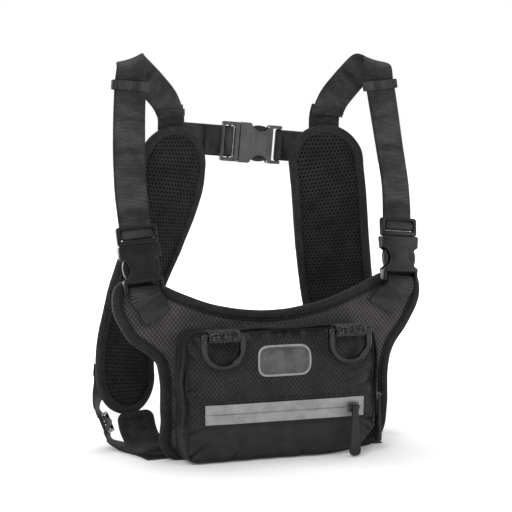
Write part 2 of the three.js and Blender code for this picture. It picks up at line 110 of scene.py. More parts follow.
THROUGH_ADJUSTER = [
    (3.3, -20), (3.3, -12), (3.1, -8.6), (0, -5.1), (-3.1, -1.6), (-3.3, 0),
    (-3.1, 1.6), (0, 5.1), (3.1, 8.6), (3.3, 12), (3.3, 20),
]
ADJUSTER = dict(at=(162.3, 76.6, 32), across=(0.45, -0.88, 0.1), along=(0.36, 0.15, 0.92))
RING = (74, -68, 144)
RING_TAB = [
    (0, 13, 2.5), (0, 8, 5.6), (0, 2, 6.2), (0, -4, 4.2), (0, -5.4, -0.5),
    (0, -3.5, -4.4), (0, 1.2, -5.2), (0, 4.8, -2), (0, 6.0, 1.2), (0, 12, 1.6),
]
SLIDER_REACH, SLIDER_DEPTH = 3.2, 2.6

SIDES = (("left", False), ("right", True))  # name, and whether it is the mirror image
STEPS_PER_SPAN = 16
PRESSURE = 4
AMBIENT = 0.45
LAMPS = [  # name, place, size, power
    ("key", (-1.1, -1.5, 1.7), 1.0, 22), ("fill", (1.6, -1.3, 0.7), 1.2, 9),
    ("top", (0.1, 0.5, 2.0), 1.3, 18), ("rim_left", (-0.75, 1.5, 0.5), 0.8, 14),
    ("rim_right", (1.5, 0.9, 0.6), 0.6, 5),
]


# ---- Meshes ---------------------------------------------------------------------------------------
def unit(v):
    v = np.asarray(v, float)
    return v / np.maximum(np.linalg.norm(v, axis=-1, keepdims=True), 1e-12)


def read(rows, key, width=1, kind=float):
    """One property of all the rows of a mesh."""
    values = np.empty(len(rows) * width, kind)
    rows.foreach_get(key, values)
    return values.reshape(-1, width) if width > 1 else values


def store(mesh, name, values, domain="CORNER"):
    """Values kept on the mesh by name, in place of any that it had."""
    if name in mesh.attributes:
        mesh.attributes.remove(mesh.attributes[name])
    kind, key = ("FLOAT_VECTOR", "vector") if values.ndim > 1 else ("FLOAT", "value")
    mesh.attributes.new(name, kind, domain).data.foreach_set(key, values.astype(np.float32).ravel())


def added(name, data):
    obj = bpy.data.objects.new(name, data)
    bpy.context.collection.objects.link(obj)
    return obj


def turned_over(points, faces):
    """The mirror image for the other side."""
    return points * (-1, 1, 1), [tuple(reversed(f)) for f in faces]


def piece(name, made, material, body, slot, replaces=(), mirror=False):
    """A new object from (points, faces[, weave]) in millimetres, on its body."""
    points, faces = np.array(made[0], float), made[1]
    if mirror:
        points, faces = turned_over(points, faces)
    mesh = bpy.data.meshes.new(name)
    mesh.from_pydata((points * MM + SHIFT).tolist(), [], [tuple(map(int, f)) for f in faces])
    mesh.validate()
    mesh.materials.append(material)
    mesh.shade_smooth()
    obj = added(name, mesh)
    if len(made) > 2:
        store(mesh, "weave", corner_weave(mesh, np.asarray(made[2])))
    else:
        planar_weave(mesh)
    if body:
        settle(obj, body, replaces)
    return obj


def corner_weave(mesh, weave):
    """Each point's weave for the faces' corners: over a closed band's join it runs on, not back to 0."""
    size = read(mesh.polygons, "loop_total", kind=int)
    values = weave[read(mesh.loops, "vertex_index", kind=int)]
    first = np.concatenate([[0], np.cumsum(size)[:-1]])
    along = values[:, 1]
    turn = along.max() + np.unique(np.round(weave[:, 1], 4))[:2].max()
    join = np.repeat(np.maximum.reduceat(along, first) - np.minimum.reduceat(along, first) > turn / 2, size)
    values[:, 1] = np.where(join & (along < turn / 2), along + turn, along)
    return values


def planar_weave(mesh):
    """Pattern coordinates in millimetres, for each face from the side that it faces."""
    size = read(mesh.polygons, "loop_total", kind=int)
    axis = np.repeat(np.abs(read(mesh.polygons, "normal", 3)).argmax(1), size)
    p = (read(mesh.vertices, "co", 3) / MM)[read(mesh.loops, "vertex_index", kind=int)]
    u = np.where(axis == 0, p[:, 1], p[:, 0])
    v = np.where(axis == 2, p[:, 1], p[:, 2])
    store(mesh, "weave", np.stack([u, v, np.zeros_like(u)], 1))


def settle(obj, body, replaces=()):
    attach(obj, body)
    if replaces:
        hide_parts(*replaces)


def dressed(mesh, *materials):
    mesh.materials.clear()
    for material in materials:
        mesh.materials.append(material)
    mesh.shade_smooth()


def merged(*parts):
    """Several (points, faces[, weave]) as one, with the weave if all of them have it."""
    faces, first = [], 0
    for made in parts:
        faces += [tuple(i + first for i in f) for f in made[1]]
        first += len(made[0])
    woven = all(len(made) > 2 for made in parts)
    points, *weave = (np.concatenate([made[k] for made in parts]) for k in ((0, 2) if woven else (0,)))
    return (points, faces, *weave)


def moved(made, matrix):
    return (np.asarray(made[0]) @ matrix[:3, :3].T + matrix[:3, 3], *made[1:])


def tube(rows, columns, closed=False):
    """Faces of a tube whose points come ring by ring: its ends are capped unless it closes on itself."""
    faces = [
        (i * columns + j, i * columns + (j + 1) % columns,
         (i + 1) % rows * columns + (j + 1) % columns, (i + 1) % rows * columns + j)
        for i in range(rows if closed else rows - 1) for j in range(columns)
    ]
    if not closed:
        faces += [tuple(reversed(range(columns))), tuple(range((rows - 1) * columns, rows * columns))]
    return faces


# ---- Curves ---------------------------------------------------------------------------------------
def spline(points, closed=False):
    """The centripetal Catmull-Rom curve through the points, in fine steps."""
    p = np.array(points, float)
    n = len(p)
    spans = n if closed else n - 1
    u = np.linspace(0, 1, STEPS_PER_SPAN, endpoint=False)[:, None]
    out = []
    for i in range(spans):
        q1, q2 = p[i], p[(i + 1) % n]
        q0 = p[i - 1] if closed or i else 2 * q1 - q2
        q3 = p[(i + 2) % n] if closed or i + 2 < n else 2 * q2 - q1
        steps = [np.linalg.norm(b - a) ** 0.5 for a, b in ((q0, q1), (q1, q2), (q2, q3))]
        d1 = steps[1] if steps[1] > 1e-4 else 1
        d0 = steps[0] if steps[0] > 1e-4 else d1
        d2 = steps[2] if steps[2] > 1e-4 else d1
        m1 = d1 * ((q1 - q0) / d0 - (q2 - q0) / (d0 + d1) + (q2 - q1) / d1)
        m2 = d1 * ((q2 - q1) / d1 - (q3 - q1) / (d1 + d2) + (q3 - q2) / d2)
        out.append(
            (2 * u**3 - 3 * u**2 + 1) * q1 + (u**3 - 2 * u**2 + u) * m1
            + (3 * u**2 - 2 * u**3) * q2 + (u**3 - u**2) * m2
        )
    if not closed:
        out.append(p[-1:])
    return np.concatenate(out)


def tangents(points, closed):
    if closed:
        return unit(np.roll(points, -1, 0) - np.roll(points, 1, 0))
    return unit(np.gradient(points, axis=0))


def even(line, spacing, closed=False, others=()):
    """A polyline at even steps, the other per-point rows with it, the distances and the whole length."""
    loop, *rows = (np.concatenate([o, o[:1]]) if closed else o for o in (line, *others))
    far = np.concatenate([[0], np.cumsum(np.linalg.norm(np.diff(loop, axis=0), axis=1))])
    count = max(2, round(far[-1] / spacing))
    wanted = np.linspace(0, far[-1], count + 1)[: count if closed else count + 1]
    return at_far(wanted, far, loop), [at_far(wanted, far, r) for r in rows], wanted, far[-1]


def at_far(wanted, far, values):
    """Per-point values at other distances along a line."""
    return np.stack([np.interp(wanted, far, column) for column in values.T], 1)


class Line:
    """Frames along a route: place, tangent, across and normal, with the distance travelled."""

    def __init__(self, path, spacing):
        centre = spline([p for p, _ in path])
        across = spline([unit(a) for _, a in path])
        self.point, (side,), self.far, self.length = even(centre, spacing, others=[across])
        self.closed = False
        self.tangent = tangents(self.point, False)
        self.across = unit(side - (side * self.tangent).sum(1, keepdims=True) * self.tangent)
        self.normal = np.cross(self.tangent, self.across)


def sweep(line, section, scale=None, taper=None):
    """A closed section of (across, normal) points swept along a line, widened and thickened row by row."""
    n, m = len(line.point), len(section)
    section = np.array(section, float)
    wide, thick = (np.ones(n) if s is None else np.asarray(s) for s in (scale, taper))
    across = wide[:, None] * section[None, :, 0]
    points = (
        line.point[:, None]
        + across[..., None] * line.across[:, None]
        + (thick[:, None] * section[None, :, 1])[..., None] * line.normal[:, None]
    )
    weave = np.zeros((n, m, 3))
    weave[..., 0], weave[..., 1], weave[..., 2] = across, line.far[:, None], section[None, :, 1]
    return outward((points.reshape(-1, 3), tube(n, m, line.closed), weave.reshape(-1, 3)))


def outward(made):
    """The same faces turned so that the closed form's volume is positive."""
    points, faces = np.asarray(made[0]), made[1]
    volume = sum(
        float(np.dot(points[f[0]], np.cross(points[f[i]], points[f[i + 1]])))
        for f in faces for i in range(1, len(f) - 1)
    )
    return made if volume > 0 else (points, [tuple(reversed(f)) for f in faces], *made[2:])


class Laid:
    """A line through laid points, with the normals given; across lies in the surface."""

    def __init__(self, points, normals, closed=False):
        self.point, self.closed = np.asarray(points, float), closed
        gap = np.linalg.norm(np.diff(self.point, axis=0), axis=1)
        self.far = np.concatenate([[0], np.cumsum(gap)])
        self.tangent = tangents(self.point, closed)
        n = np.asarray(normals, float)
        if n.ndim < 2:
            n = np.tile(n, (len(self.point), 1))
        self.normal = unit(n - (n * self.tangent).sum(1, keepdims=True) * self.tangent)
        self.across = np.cross(self.normal, self.tangent)


def arc(centre, radius, start, end, count=12):
    turns = np.radians(np.linspace(start, end, count))
    return [(centre[0] + radius * math.cos(a), centre[1] + radius * math.sin(a)) for a in turns]


def rounded(left, bottom, width, height, radii, count=5):
    """A rounded rectangle; of four radii, the first is for the bottom right corner, then anticlockwise."""
    right, top = left + width, bottom + height
    r = np.broadcast_to(radii, 4)
    centres = (
        (right - r[0], bottom + r[0]), (right - r[1], top - r[1]),
        (left + r[2], top - r[2]), (left + r[3], bottom + r[3]),
    )
    return [p for k, centre in enumerate(centres) for p in arc(centre, r[k], 90 * k - 90, 90 * k, count)]


def rounded_outline(left, bottom, right, top, radii, spacing=4.0):
    """The same between two corners, at even steps."""
    corners = np.array(rounded(left, bottom, right - left, top - bottom, radii, 9))
    return even(corners, spacing, closed=True)[0]


def other_half(points):
    """The mirror image of the right half's outline, in the opposite order."""
    return [(-x, z) for x, z in reversed(points)]


def superellipse(half_width, half_depth, count=20, power=2.6):
    angle = np.linspace(0, 2 * math.pi, count, endpoint=False)
    c, s = np.cos(angle), np.sin(angle)
    shape = lambda v: np.sign(v) * np.abs(v) ** (2 / power)
    return np.stack([half_width * shape(c), half_depth * shape(s)], 1)


def web_section(width=WEBBING, depth=WEB, columns=14):
    """Webbing: flat, with a slightly thicker rounded selvedge."""
    x = np.linspace(-1, 1, columns)
    lip = 1 + 0.16 * np.exp(-(((np.abs(x) - 0.93) / 0.05) ** 2))
    rounded = np.sqrt(np.clip(1 - np.clip((np.abs(x) - 0.97) / 0.03, 0, 1) ** 2, 0.08, 1))
    y = depth / 2 * lip * rounded
    top = np.stack([x * width / 2, y], 1)
    return np.concatenate([top, (top * (1, -1))[::-1]])


def turned(at, turn):
    """A placed frame: turned about x, y and z in that order, as the CAD's are."""
    rx, ry, rz = (Matrix.Rotation(math.radians(a), 4, axis) for a, axis in zip(turn, "XYZ"))
    return np.array(Matrix.Translation(at) @ rx @ ry @ rz)


def threaded(matrix, points):
    """A webbing's route through a placed buckle, from [y, z] in the buckle's frame."""
    side = matrix[:3, 0]
    return [(tuple(matrix[:3, :3] @ (0, y, z) + matrix[:3, 3]), tuple(side)) for y, z in points]


FRONT = turned(**FRONT_BUCKLE)
BACK = turned(**BACK_BUCKLE)


def basis(at, across, along):
    x = unit(across)
    z = unit(np.array(along) - np.dot(along, x) * x)
    made = np.eye(4)
    made[:3, 0], made[:3, 1], made[:3, 2], made[:3, 3] = x, np.cross(z, x), z, at
    return made


SLIDE = basis(**ADJUSTER)


# ---- Materials --------------------------------------------------------------------------------------
class Shader:
    """A material, with short ways to add nodes to it."""

    def __init__(self, name, roughness, **sockets):
        self.material = bpy.data.materials.new(name)
        self.material.use_nodes = True
        self.tree = self.material.node_tree
        self.surface = self.tree.nodes["Principled BSDF"]
        self.surface.inputs["Roughness"].default_value = roughness
        for label, value in sockets.items():
            self.surface.inputs[label.replace("_", " ")].default_value = value

    def node(self, kind, *inputs, out=0, **settings):
        made = self.tree.nodes.new("ShaderNode" + kind)
        for key, value in settings.items():
            setattr(made, key, value)
        for socket, value in zip(made.inputs, inputs):
            self.feed(socket, value)
        return made.outputs[out]

    def feed(self, socket, value):
        if isinstance(value, bpy.types.NodeSocket):
            self.tree.links.new(value, socket)
        elif value is not None:
            socket.default_value = value

    def math(self, operation, *inputs):
        return self.node("Math", *inputs, operation=operation)

    def times(self, *factors):
        product = factors[0]
        for factor in factors[1:]:
            product = self.math("MULTIPLY", product, factor)
        return product

    def ramp(self, value, low, high, to_low=0.0, to_high=1.0):
        """A smooth step from to_low to to_high as value goes from low to high."""
        made = self.tree.nodes.new("ShaderNodeMapRange")
        made.interpolation_type = "SMOOTHSTEP"
        for socket, given in zip(made.inputs, (value, low, high, to_low, to_high)):
            self.feed(socket, given)
        return made.outputs[0]

    def weave(self):
        """The weave coordinates in millimetres, across and along."""
        made = self.tree.nodes.new("ShaderNodeAttribute")
        made.attribute_name = "weave"
        apart = self.tree.nodes.new("ShaderNodeSeparateXYZ")
        self.tree.links.new(made.outputs["Vector"], apart.inputs[0])
        return apart.outputs[0], apart.outputs[1]

    def painted_crease_shading(self, color):
        """The colour with painted shade down in the mesh's stored creases and a painted highlight on their
        edges.
        """
        made = self.tree.nodes.new("ShaderNodeAttribute")
        made.attribute_name = "fold"
        sunk = made.outputs["Fac"]
        # The stored "fold" values: painted highlight where negative (pale ridges), painted shade where
        # positive (near-black creases).
        raised = self.ramp(self.math("MULTIPLY", sunk, -1), 0.1, 1.0, 0, 0.35)
        color = self.mix(raised, color, grey(104, 0.05))
        return self.mix(self.ramp(sunk, 0.1, 0.9, 0, 0.88), color, grey(5))

    def place(self):
        """Object coordinates in millimetres."""
        made = self.tree.nodes.new("ShaderNodeTexCoord")
        return self.node("VectorMath", made.outputs["Object"], None, None, 1 / MM, operation="SCALE")

    def noise(self, vector, scale, detail=2.0, roughness=0.5):
        made = self.tree.nodes.new("ShaderNodeTexNoise")
        self.feed(made.inputs["Vector"], vector)
        made.inputs["Scale"].default_value = scale
        made.inputs["Detail"].default_value = detail
        made.inputs["Roughness"].default_value = roughness
        return made.outputs[0]

    def wave(self, value, pitch, phase=0.0):
        """From 0 to 1 and back, once a pitch."""
        turned_by = self.math("MULTIPLY_ADD", value, 2 * math.pi / pitch, phase)
        return self.math("MULTIPLY_ADD", self.math("COSINE", turned_by), 0.5, 0.5)

    def mix(self, factor, a, b):
        made = self.tree.nodes.new("ShaderNodeMix")
        made.data_type = "RGBA"
        for index, value in ((0, factor), (6, a), (7, b)):
            self.feed(made.inputs[index], value)
        return made.outputs[2]

    def between(self, value, a, b):
        """A mix that goes from a to b over the middle values of a noise."""
        return self.mix(self.ramp(value, 0.3, 0.7), a, b)

    def bump(self, height, distance, strength=1.0, normal=None):
        made = self.tree.nodes.new("ShaderNodeBump")
        made.inputs["Strength"].default_value = strength
        made.inputs["Distance"].default_value = distance * MM
        self.feed(made.inputs["Height"], height)
        self.feed(made.inputs["Normal"], normal)
        return made.outputs[0]

    def finish(self, color, normal=None, roughness=None):
        self.feed(self.surface.inputs["Base Color"], color)
        self.feed(self.surface.inputs["Normal"], normal)
        self.feed(self.surface.inputs["Roughness"], roughness)
        return self.material


def grey(value, warm=0.0):
    """A near-neutral colour from an 8-bit grey as seen, a little warm or purple."""
    linear = ((value / 255 + 0.055) / 1.055) ** 2.4
    return (linear * (1 + warm), linear * (1 - 0.4 * warm), linear * (1 + 0.3 * warm), 1)


def ripstop(name, line, dark, light, pitch=3.7):
    """A coated ripstop: a diamond grid of darker sunk threads between pale crowned cells."""
    s = Shader(name, 0.66, Specular_IOR_Level=0.16, Sheen_Weight=0.02)
    u, v = s.weave()
    slant = s.math("MULTIPLY", u, 0.78)
    grid = s.math(
        "MAXIMUM",
        s.wave(s.math("MULTIPLY_ADD", v, 0.62, slant), pitch),
        s.wave(s.math("MULTIPLY_ADD", v, -0.62, slant), pitch),
    )
    thread = s.ramp(grid, 0.8, 0.97)
    fine = s.times(s.wave(u, 0.62), s.wave(v, 0.62))
    place = s.place()
    patches = s.noise(place, 0.035, 4.0, 0.6)
    mottle = s.noise(place, 0.5, 3.0, 0.6)
    cloth = s.between(patches, dark, light)
    color = s.mix(s.times(thread, 0.85), cloth, line)
    # Over the weave: painted shade down the pouch's creases and painted highlight on their edges.
    color = s.painted_crease_shading(s.mix(s.times(fine, s.ramp(mottle, 0.45, 0.7), 0.45), color, grey(112, 0.04)))
    height = s.math("MULTIPLY_ADD", thread, -1.0, s.times(mottle, 0.5))
    creases = s.bump(s.noise(place, 0.11, 4.0, 0.55), 1.6, 0.9)
    rough = s.ramp(mottle, 0.2, 0.8, 0.52, 0.74)
    return s.finish(color, s.bump(height, 0.4, 1.0, creases), rough)


def plain_weave(name, dark, light, pitch=0.9):
    """A plain-woven cloth with soft creases and rubbed patches."""
    s = Shader(name, 0.75, Specular_IOR_Level=0.13, Sheen_Weight=0.03)
    u, v = s.weave()
    check = s.times(s.wave(u, pitch), s.wave(v, pitch))
    place = s.place()
    patches = s.noise(place, 0.06, 4.0, 0.6)
    rubbed = s.noise(place, 0.45, 3.0, 0.6)
    color = s.between(patches, dark, light)
    # Over the weave: painted shade down the pouch's creases and painted highlight on their edges.
    color = s.painted_crease_shading(s.mix(s.times(check, s.ramp(rubbed, 0.3, 0.8), 0.3), color, grey(84, 0.03)))
    creases = s.bump(s.noise(place, 0.13, 4.0, 0.5), 1.5, 0.9)
    return s.finish(color, s.bump(check, 0.22, 0.8, creases), s.ramp(patches, 0.3, 0.7, 0.66, 0.82))


def spacer_mesh(name, pitch=4.3):
    """3-D spacer mesh: staggered open cells in a knitted face, painted near-black inside as painted shade."""
    s = Shader(name, 0.85, Specular_IOR_Level=0.1, Sheen_Weight=0.03)
    u, v = s.weave()
    waves = []
    for angle in (90, 30, -30):
        x, z = (2 / math.sqrt(3) * f(math.radians(angle)) for f in (math.cos, math.sin))
        waves.append(s.wave(s.math("MULTIPLY_ADD", v, z * 0.86, s.math("MULTIPLY", u, x)), pitch))
    total = s.math("ADD", s.math("ADD", waves[0], waves[1]), waves[2])
    hole = s.ramp(total, 1.5, 2.3)
    yarn = s.times(s.wave(u, 0.6), s.wave(v, 0.75))
    place = s.place()
    patches = s.noise(place, 0.05, 3.0, 0.6)
    ridge = s.ramp(total, 0.9, 0.35)
    face = s.between(patches, grey(30, 0.02), grey(42, 0.03))
    face = s.mix(s.times(s.math("MULTIPLY_ADD", yarn, 0.6, 0.4), ridge, 0.8), face, grey(66, 0.02))
    # The cells' near-black is painted shade down in the open cells.
    color = s.mix(hole, face, grey(5))
    height = s.math("MULTIPLY_ADD", yarn, 0.12, s.times(total, -0.5))
    dents = s.bump(patches, 1.2, 0.7)
    return s.finish(color, s.bump(height, 0.9, 1.0, dents), s.ramp(hole, 0, 1, 0.8, 1.0))


def webbing(name, dark, light, fuzz=0.3):
    """Woven webbing: ribs across, a finer twill in them, and a selvedge on each side."""
    s = Shader(name, 0.6, Specular_IOR_Level=0.2, Sheen_Weight=0.03)
    u, v = s.weave()
    rib = s.wave(v, 1.5)
    twill = s.wave(s.math("MULTIPLY_ADD", v, 0.8, s.math("PINGPONG", u, 2.3)), 0.9)
    from_middle = s.math("ABSOLUTE", u)
    side = s.ramp(from_middle, WEBBING / 2 - 2.3, WEBBING / 2 - 1.6)
    selvedge = s.wave(from_middle, 1.2, 2.0)
    place = s.place()
    fibre = s.noise(place, 1.0, 3.0, 0.6)
    along = s.node("CombineXYZ", s.math("MULTIPLY", u, 0.16), s.math("MULTIPLY", v, 0.9))
    streak = s.noise(along, 1.0, 3.0, 0.6)
    # Slow bands of painted sheen along the webbing lighten its base tone and its ribs; the streaks are the
    # yarn's own tone.
    sheen_band_coords = s.node("CombineXYZ", s.math("MULTIPLY", u, 0.012), s.math("MULTIPLY", v, 0.03))
    painted_sheen_bands = s.noise(sheen_band_coords, 1.0, 3.0, 0.65)
    base = s.mix(s.ramp(s.math("MULTIPLY_ADD", streak, 0.35, painted_sheen_bands), 0.5, 0.85), dark, light)
    # The ribs' crowns are painted lighter: a painted highlight, swelling with the painted sheen bands.
    lit = s.times(rib, s.math("ADD", twill, 0.3), s.ramp(painted_sheen_bands, 0.36, 0.64, 0.1, 0.75))
    color = s.mix(lit, base, grey(92, 0.02))
    color = s.mix(s.times(s.ramp(fibre, 0.54, 0.74), fuzz), color, grey(128))
    loops = s.math("MULTIPLY_ADD", s.times(selvedge, s.wave(v, 2.9)), 0.8, 0.15)
    color = s.mix(s.times(side, loops), color, grey(8))
    across = s.math("MULTIPLY_ADD", twill, 0.35, rib)
    height = s.math("MULTIPLY_ADD", s.math("SUBTRACT", selvedge, across), side, across)
    return s.finish(color, s.bump(height, 0.36, 1.0), s.ramp(fibre, 0.2, 0.8, 0.46, 0.7))


def tape(name, dark, light, pitch=1.4):
    """Grosgrain binding tape: soft ribs across the edge that it covers."""
    s = Shader(name, 0.75, Specular_IOR_Level=0.14, Sheen_Weight=0.04)
    _, v = s.weave()
    place = s.place()
    rib = s.wave(s.math("MULTIPLY_ADD", s.noise(place, 0.35), 1.2, v), pitch)
    patches = s.noise(place, 0.08, 4.0, 0.6)
    fibre = s.noise(place, 0.9, 3.0, 0.6)
    color = s.between(patches, dark, light)
    color = s.mix(s.times(rib, s.ramp(fibre, 0.35, 0.7), 0.5), color, grey(84, 0.02))
    pucker = s.bump(s.noise(place, 0.25, 3.0), 1.2, 0.9)
    return s.finish(color, s.bump(rib, 0.3, 1.0, pucker))


def moulded(name, color, roughness, grain=0.05, specular=0.5, coat=0.0):
    """Injection-moulded plastic: a fine spark-eroded grain, slight flow marks and rubbed patches."""
    s = Shader(name, roughness, Specular_IOR_Level=specular, Coat_Weight=coat, Coat_Roughness=0.12)
    place = s.place()
    flow = s.noise(place, 0.09, 3.0, 0.6)
    lighter = tuple(min(1, c * 1.4) for c in color[:3]) + (1,)
    tone = s.between(flow, color, lighter)
    rough = s.ramp(flow, 0.3, 0.8, roughness - 0.05, roughness + 0.1)
    return s.finish(tone, s.bump(s.noise(place, 2.6, 2.0), grain, 0.6), rough)


def rubber(name):
    """Soft moulded rubber with a field of fine dots."""
    s = Shader(name, 0.55, Specular_IOR_Level=0.3)
    u, v = s.weave()
    dots = s.times(s.wave(u, 1.6), s.wave(v, 1.6))
    flow = s.noise(s.place(), 0.2, 3.0)
    color = s.between(flow, grey(26), grey(36))
    color = s.mix(s.times(dots, 0.5), color, grey(74))
    return s.finish(color, s.bump(dots, 0.3, 0.9), s.ramp(flow, 0.3, 0.7, 0.5, 0.65))


def reflective(name, low, high):
    """Reflective tape: a pale glass-bead film, slightly creased and scuffed."""
    s = Shader(name, 0.42, Specular_IOR_Level=0.4, Metallic=0.15)
    place = s.place()
    beads = s.noise(place, 3.0, 2.0)
    patches = s.noise(place, 0.07, 5.0, 0.65)
    scuffs = s.noise(place, 0.6, 4.0, 0.7)
    color = s.between(patches, grey(low), grey(high))
    color = s.mix(s.times(s.ramp(scuffs, 0.55, 0.75), 0.5), color, grey(low - 30))
    color = s.mix(s.times(s.ramp(beads, 0.5, 0.75), 0.25), color, grey(high + 24))
    creases = s.bump(patches, 1.1, 0.8)
    return s.finish(color, s.bump(beads, 0.06, 0.6, creases), s.ramp(patches, 0.3, 0.7, 0.36, 0.5))


def metal(name):
    """Dark plated zinc, scuffed."""
    s = Shader(name, 0.3, Metallic=0.9)
    scuffs = s.noise(s.place(), 0.8, 4.0, 0.7)
    color = s.mix(s.ramp(scuffs, 0.4, 0.7), grey(58), grey(110))
    return s.finish(color, s.bump(scuffs, 0.05, 0.5), s.ramp(scuffs, 0.3, 0.7, 0.24, 0.42))


def fuzzy(name):
    """A short-pile tape whose fibre ends catch the light."""
    s = Shader(name, 0.8, Specular_IOR_Level=0.15, Sheen_Weight=0.1, Sheen_Roughness=0.4)
    _, v = s.weave()
    place = s.place()
    fibre = s.noise(place, 1.1, 4.0, 0.75)
    tufts = s.noise(place, 0.4, 2.0)
    color = s.mix(s.ramp(fibre, 0.42, 0.6), grey(4), grey(36))
    ends = s.times(s.ramp(fibre, 0.54, 0.64), s.ramp(tufts, 0.35, 0.55))
    color = s.mix(ends, color, grey(148))
    height = s.math("MULTIPLY_ADD", s.wave(v, 1.5), 0.4, fibre)
    return s.finish(color, s.bump(height, 0.7, 1.0))


RIPSTOP = ripstop("ripstop", grey(18, 0.05), grey(60, 0.07), grey(80, 0.07))
POUCH_RIPSTOP = ripstop("pouch_ripstop", grey(4, 0.04), grey(34, 0.05), grey(47, 0.05), 3.7)
CANVAS = plain_weave("canvas", grey(36, 0.04), grey(47, 0.04))
MESH = spacer_mesh("spacer_mesh")
STRAP = webbing("strap_webbing", grey(11, 0.03), grey(33, 0.03))
# A darker copy of the strap's webbing: painted shade for the buckle tabs, which sit in shadow under the
# sockets.
SHADED_TAB = webbing("tab_webbing", grey(7, 0.03), grey(19, 0.03), fuzz=0.15)
TAPE = tape("binding_tape", grey(18, 0.02), grey(33, 0.02))
ZIP = plain_weave("zip_fabric", grey(18), grey(28), 0.8)
FRONT_PLASTIC = moulded("buckle_plastic_front", grey(15), 0.33, specular=0.28)
BACK_PLASTIC = moulded("buckle_plastic_back", grey(60, 0.015), 0.42, specular=0.35)
RING_PLASTIC = moulded("ring_plastic", grey(5), 0.16, 0.02, 0.3, 0.1)
COIL = moulded("zip_coil_plastic", grey(20), 0.42, 0.02, 0.3)
RUBBER = rubber("puller_rubber")
REFLECTIVE = reflective("reflective_tape", 124, 148)
PATCH = reflective("reflective_patch", 62, 84)
METAL = metal("zip_metal")
PILE = fuzzy("pile_tape")
TERRY = tape("brushed_lining", grey(22, 0.02), grey(44, 0.03), 2.3)
THREAD = plain_weave("thread", grey(36), grey(62), 0.5)


# ---- Soft bodies ------------------------------------------------------------------------------------
def pillow(outline, front, back, rings=26):
    """A closed form from a star-shaped x-z outline; front and back give y for each ring's distance in."""
    centre = outline.mean(0)
    steps = [1 - k / rings for k in range(rings)]
    profile = [(f, back(1 - f)) for f in reversed(steps)] + [(f, front(1 - f)) for f in steps]
    points = [(x, y, z) for f, y in profile for x, z in centre + (outline - centre) * f]
    return outward((np.array(points), tube(len(profile), len(outline))))


def remeshed(name, made, voxel):
    """A voxel copy of a closed form, as an object in metres."""
    obj = piece(name, made, MESH, None, None)
    remesh = obj.modifiers.new("remesh", "REMESH")
    remesh.mode, remesh.voxel_size = "VOXEL", voxel * MM
    bake(obj)
    return obj


def bake(obj):
    """Applies an object's modifiers."""
    graph = bpy.context.evaluated_depsgraph_get()
    mesh = bpy.data.meshes.new_from_object(obj.evaluated_get(graph))
    old = obj.data
    obj.modifiers.clear()
    obj.data = mesh
    bpy.data.meshes.remove(old)


def coordinates(obj):
    return (read(obj.data.vertices, "co", 3) - SHIFT) / MM


def set_coordinates(obj, points):
    obj.data.vertices.foreach_set("co", (points * MM + SHIFT).ravel())
    obj.data.update()


def under_pressure(obj, pressure, pinned, frames):
    """Makes the object cloth that swells, held where it is pinned."""
    group = obj.vertex_groups.new(name="pinned")
    group.add(np.flatnonzero(pinned).tolist(), 1, "REPLACE")
    cloth = obj.modifiers.new("cloth", "CLOTH")
    settings = cloth.settings
    settings.quality, settings.mass = 6, 0.25
    settings.use_pressure, settings.uniform_pressure_force = True, pressure
    settings.tension_stiffness = settings.compression_stiffness = 18
    settings.shear_stiffness, settings.bending_stiffness = 8, 0.6
    settings.vertex_group_mass = "pinned"
    settings.effector_weights.gravity = 0
    cloth.collision_settings.use_collision = False
    cloth.point_cache.frame_start, cloth.point_cache.frame_end = 1, frames


def solved(obj, graph):
    """Where the cloth's points are now."""
    solution = obj.evaluated_get(graph)
    after = (read(solution.to_mesh().vertices, "co", 3) - SHIFT) / MM
    solution.to_mesh_clear()
    return after


def inflate(jobs, frames=20):
    """Cloth under pressure on each (object, pressure, cap, pinned): all step together, then are fixed."""
    for obj, pressure, _, pinned in jobs:
        under_pressure(obj, pressure, pinned, frames)
    for step in range(1, frames + 1):
        bpy.context.scene.frame_set(step)
    graph = bpy.context.evaluated_depsgraph_get()
    results = [solved(job[0], graph) for job in jobs]
    for (obj, _, cap, _), after in zip(jobs, results):
        before = coordinates(obj)
        step = after - before
        far = np.linalg.norm(step, axis=1, keepdims=True)
        obj.modifiers.clear()
        obj.vertex_groups.clear()
        set_coordinates(obj, before + step * np.minimum(1, cap / np.maximum(far, 1e-9)))
    bpy.context.scene.frame_set(1)
    for job in jobs:
        smooth = job[0].modifiers.new("smooth", "SUBSURF")
        smooth.levels = smooth.render_levels = 1
        bake(job[0])


def ease(value, low, high):
    t = np.clip((value - low) / (high - low), 0, 1)
    return t * t * (3 - 2 * t)


def panel_outline(inset, spacing=6.0):
    """The panel's closed outline, inset and evenly spaced, with its outward directions."""
    edge = spline([(x, 0, z) for x, z in PANEL_HALF + other_half(PANEL_HALF[1:-1])], closed=True)
    x, z = edge[:, 0], edge[:, 2]
    low = (1 - ease(z, 108, 140)) * (0.55 + 0.45 * ease(z, 10, 50))
    edge[:, 0] += TUCKED * ease(-x, 100, 140) * low
    points = even(edge, spacing, closed=True)[0]
    tangent = tangents(points, True)
    out = np.stack([-tangent[:, 2], np.zeros(len(points)), tangent[:, 0]], 1)
    return points - out * inset, out


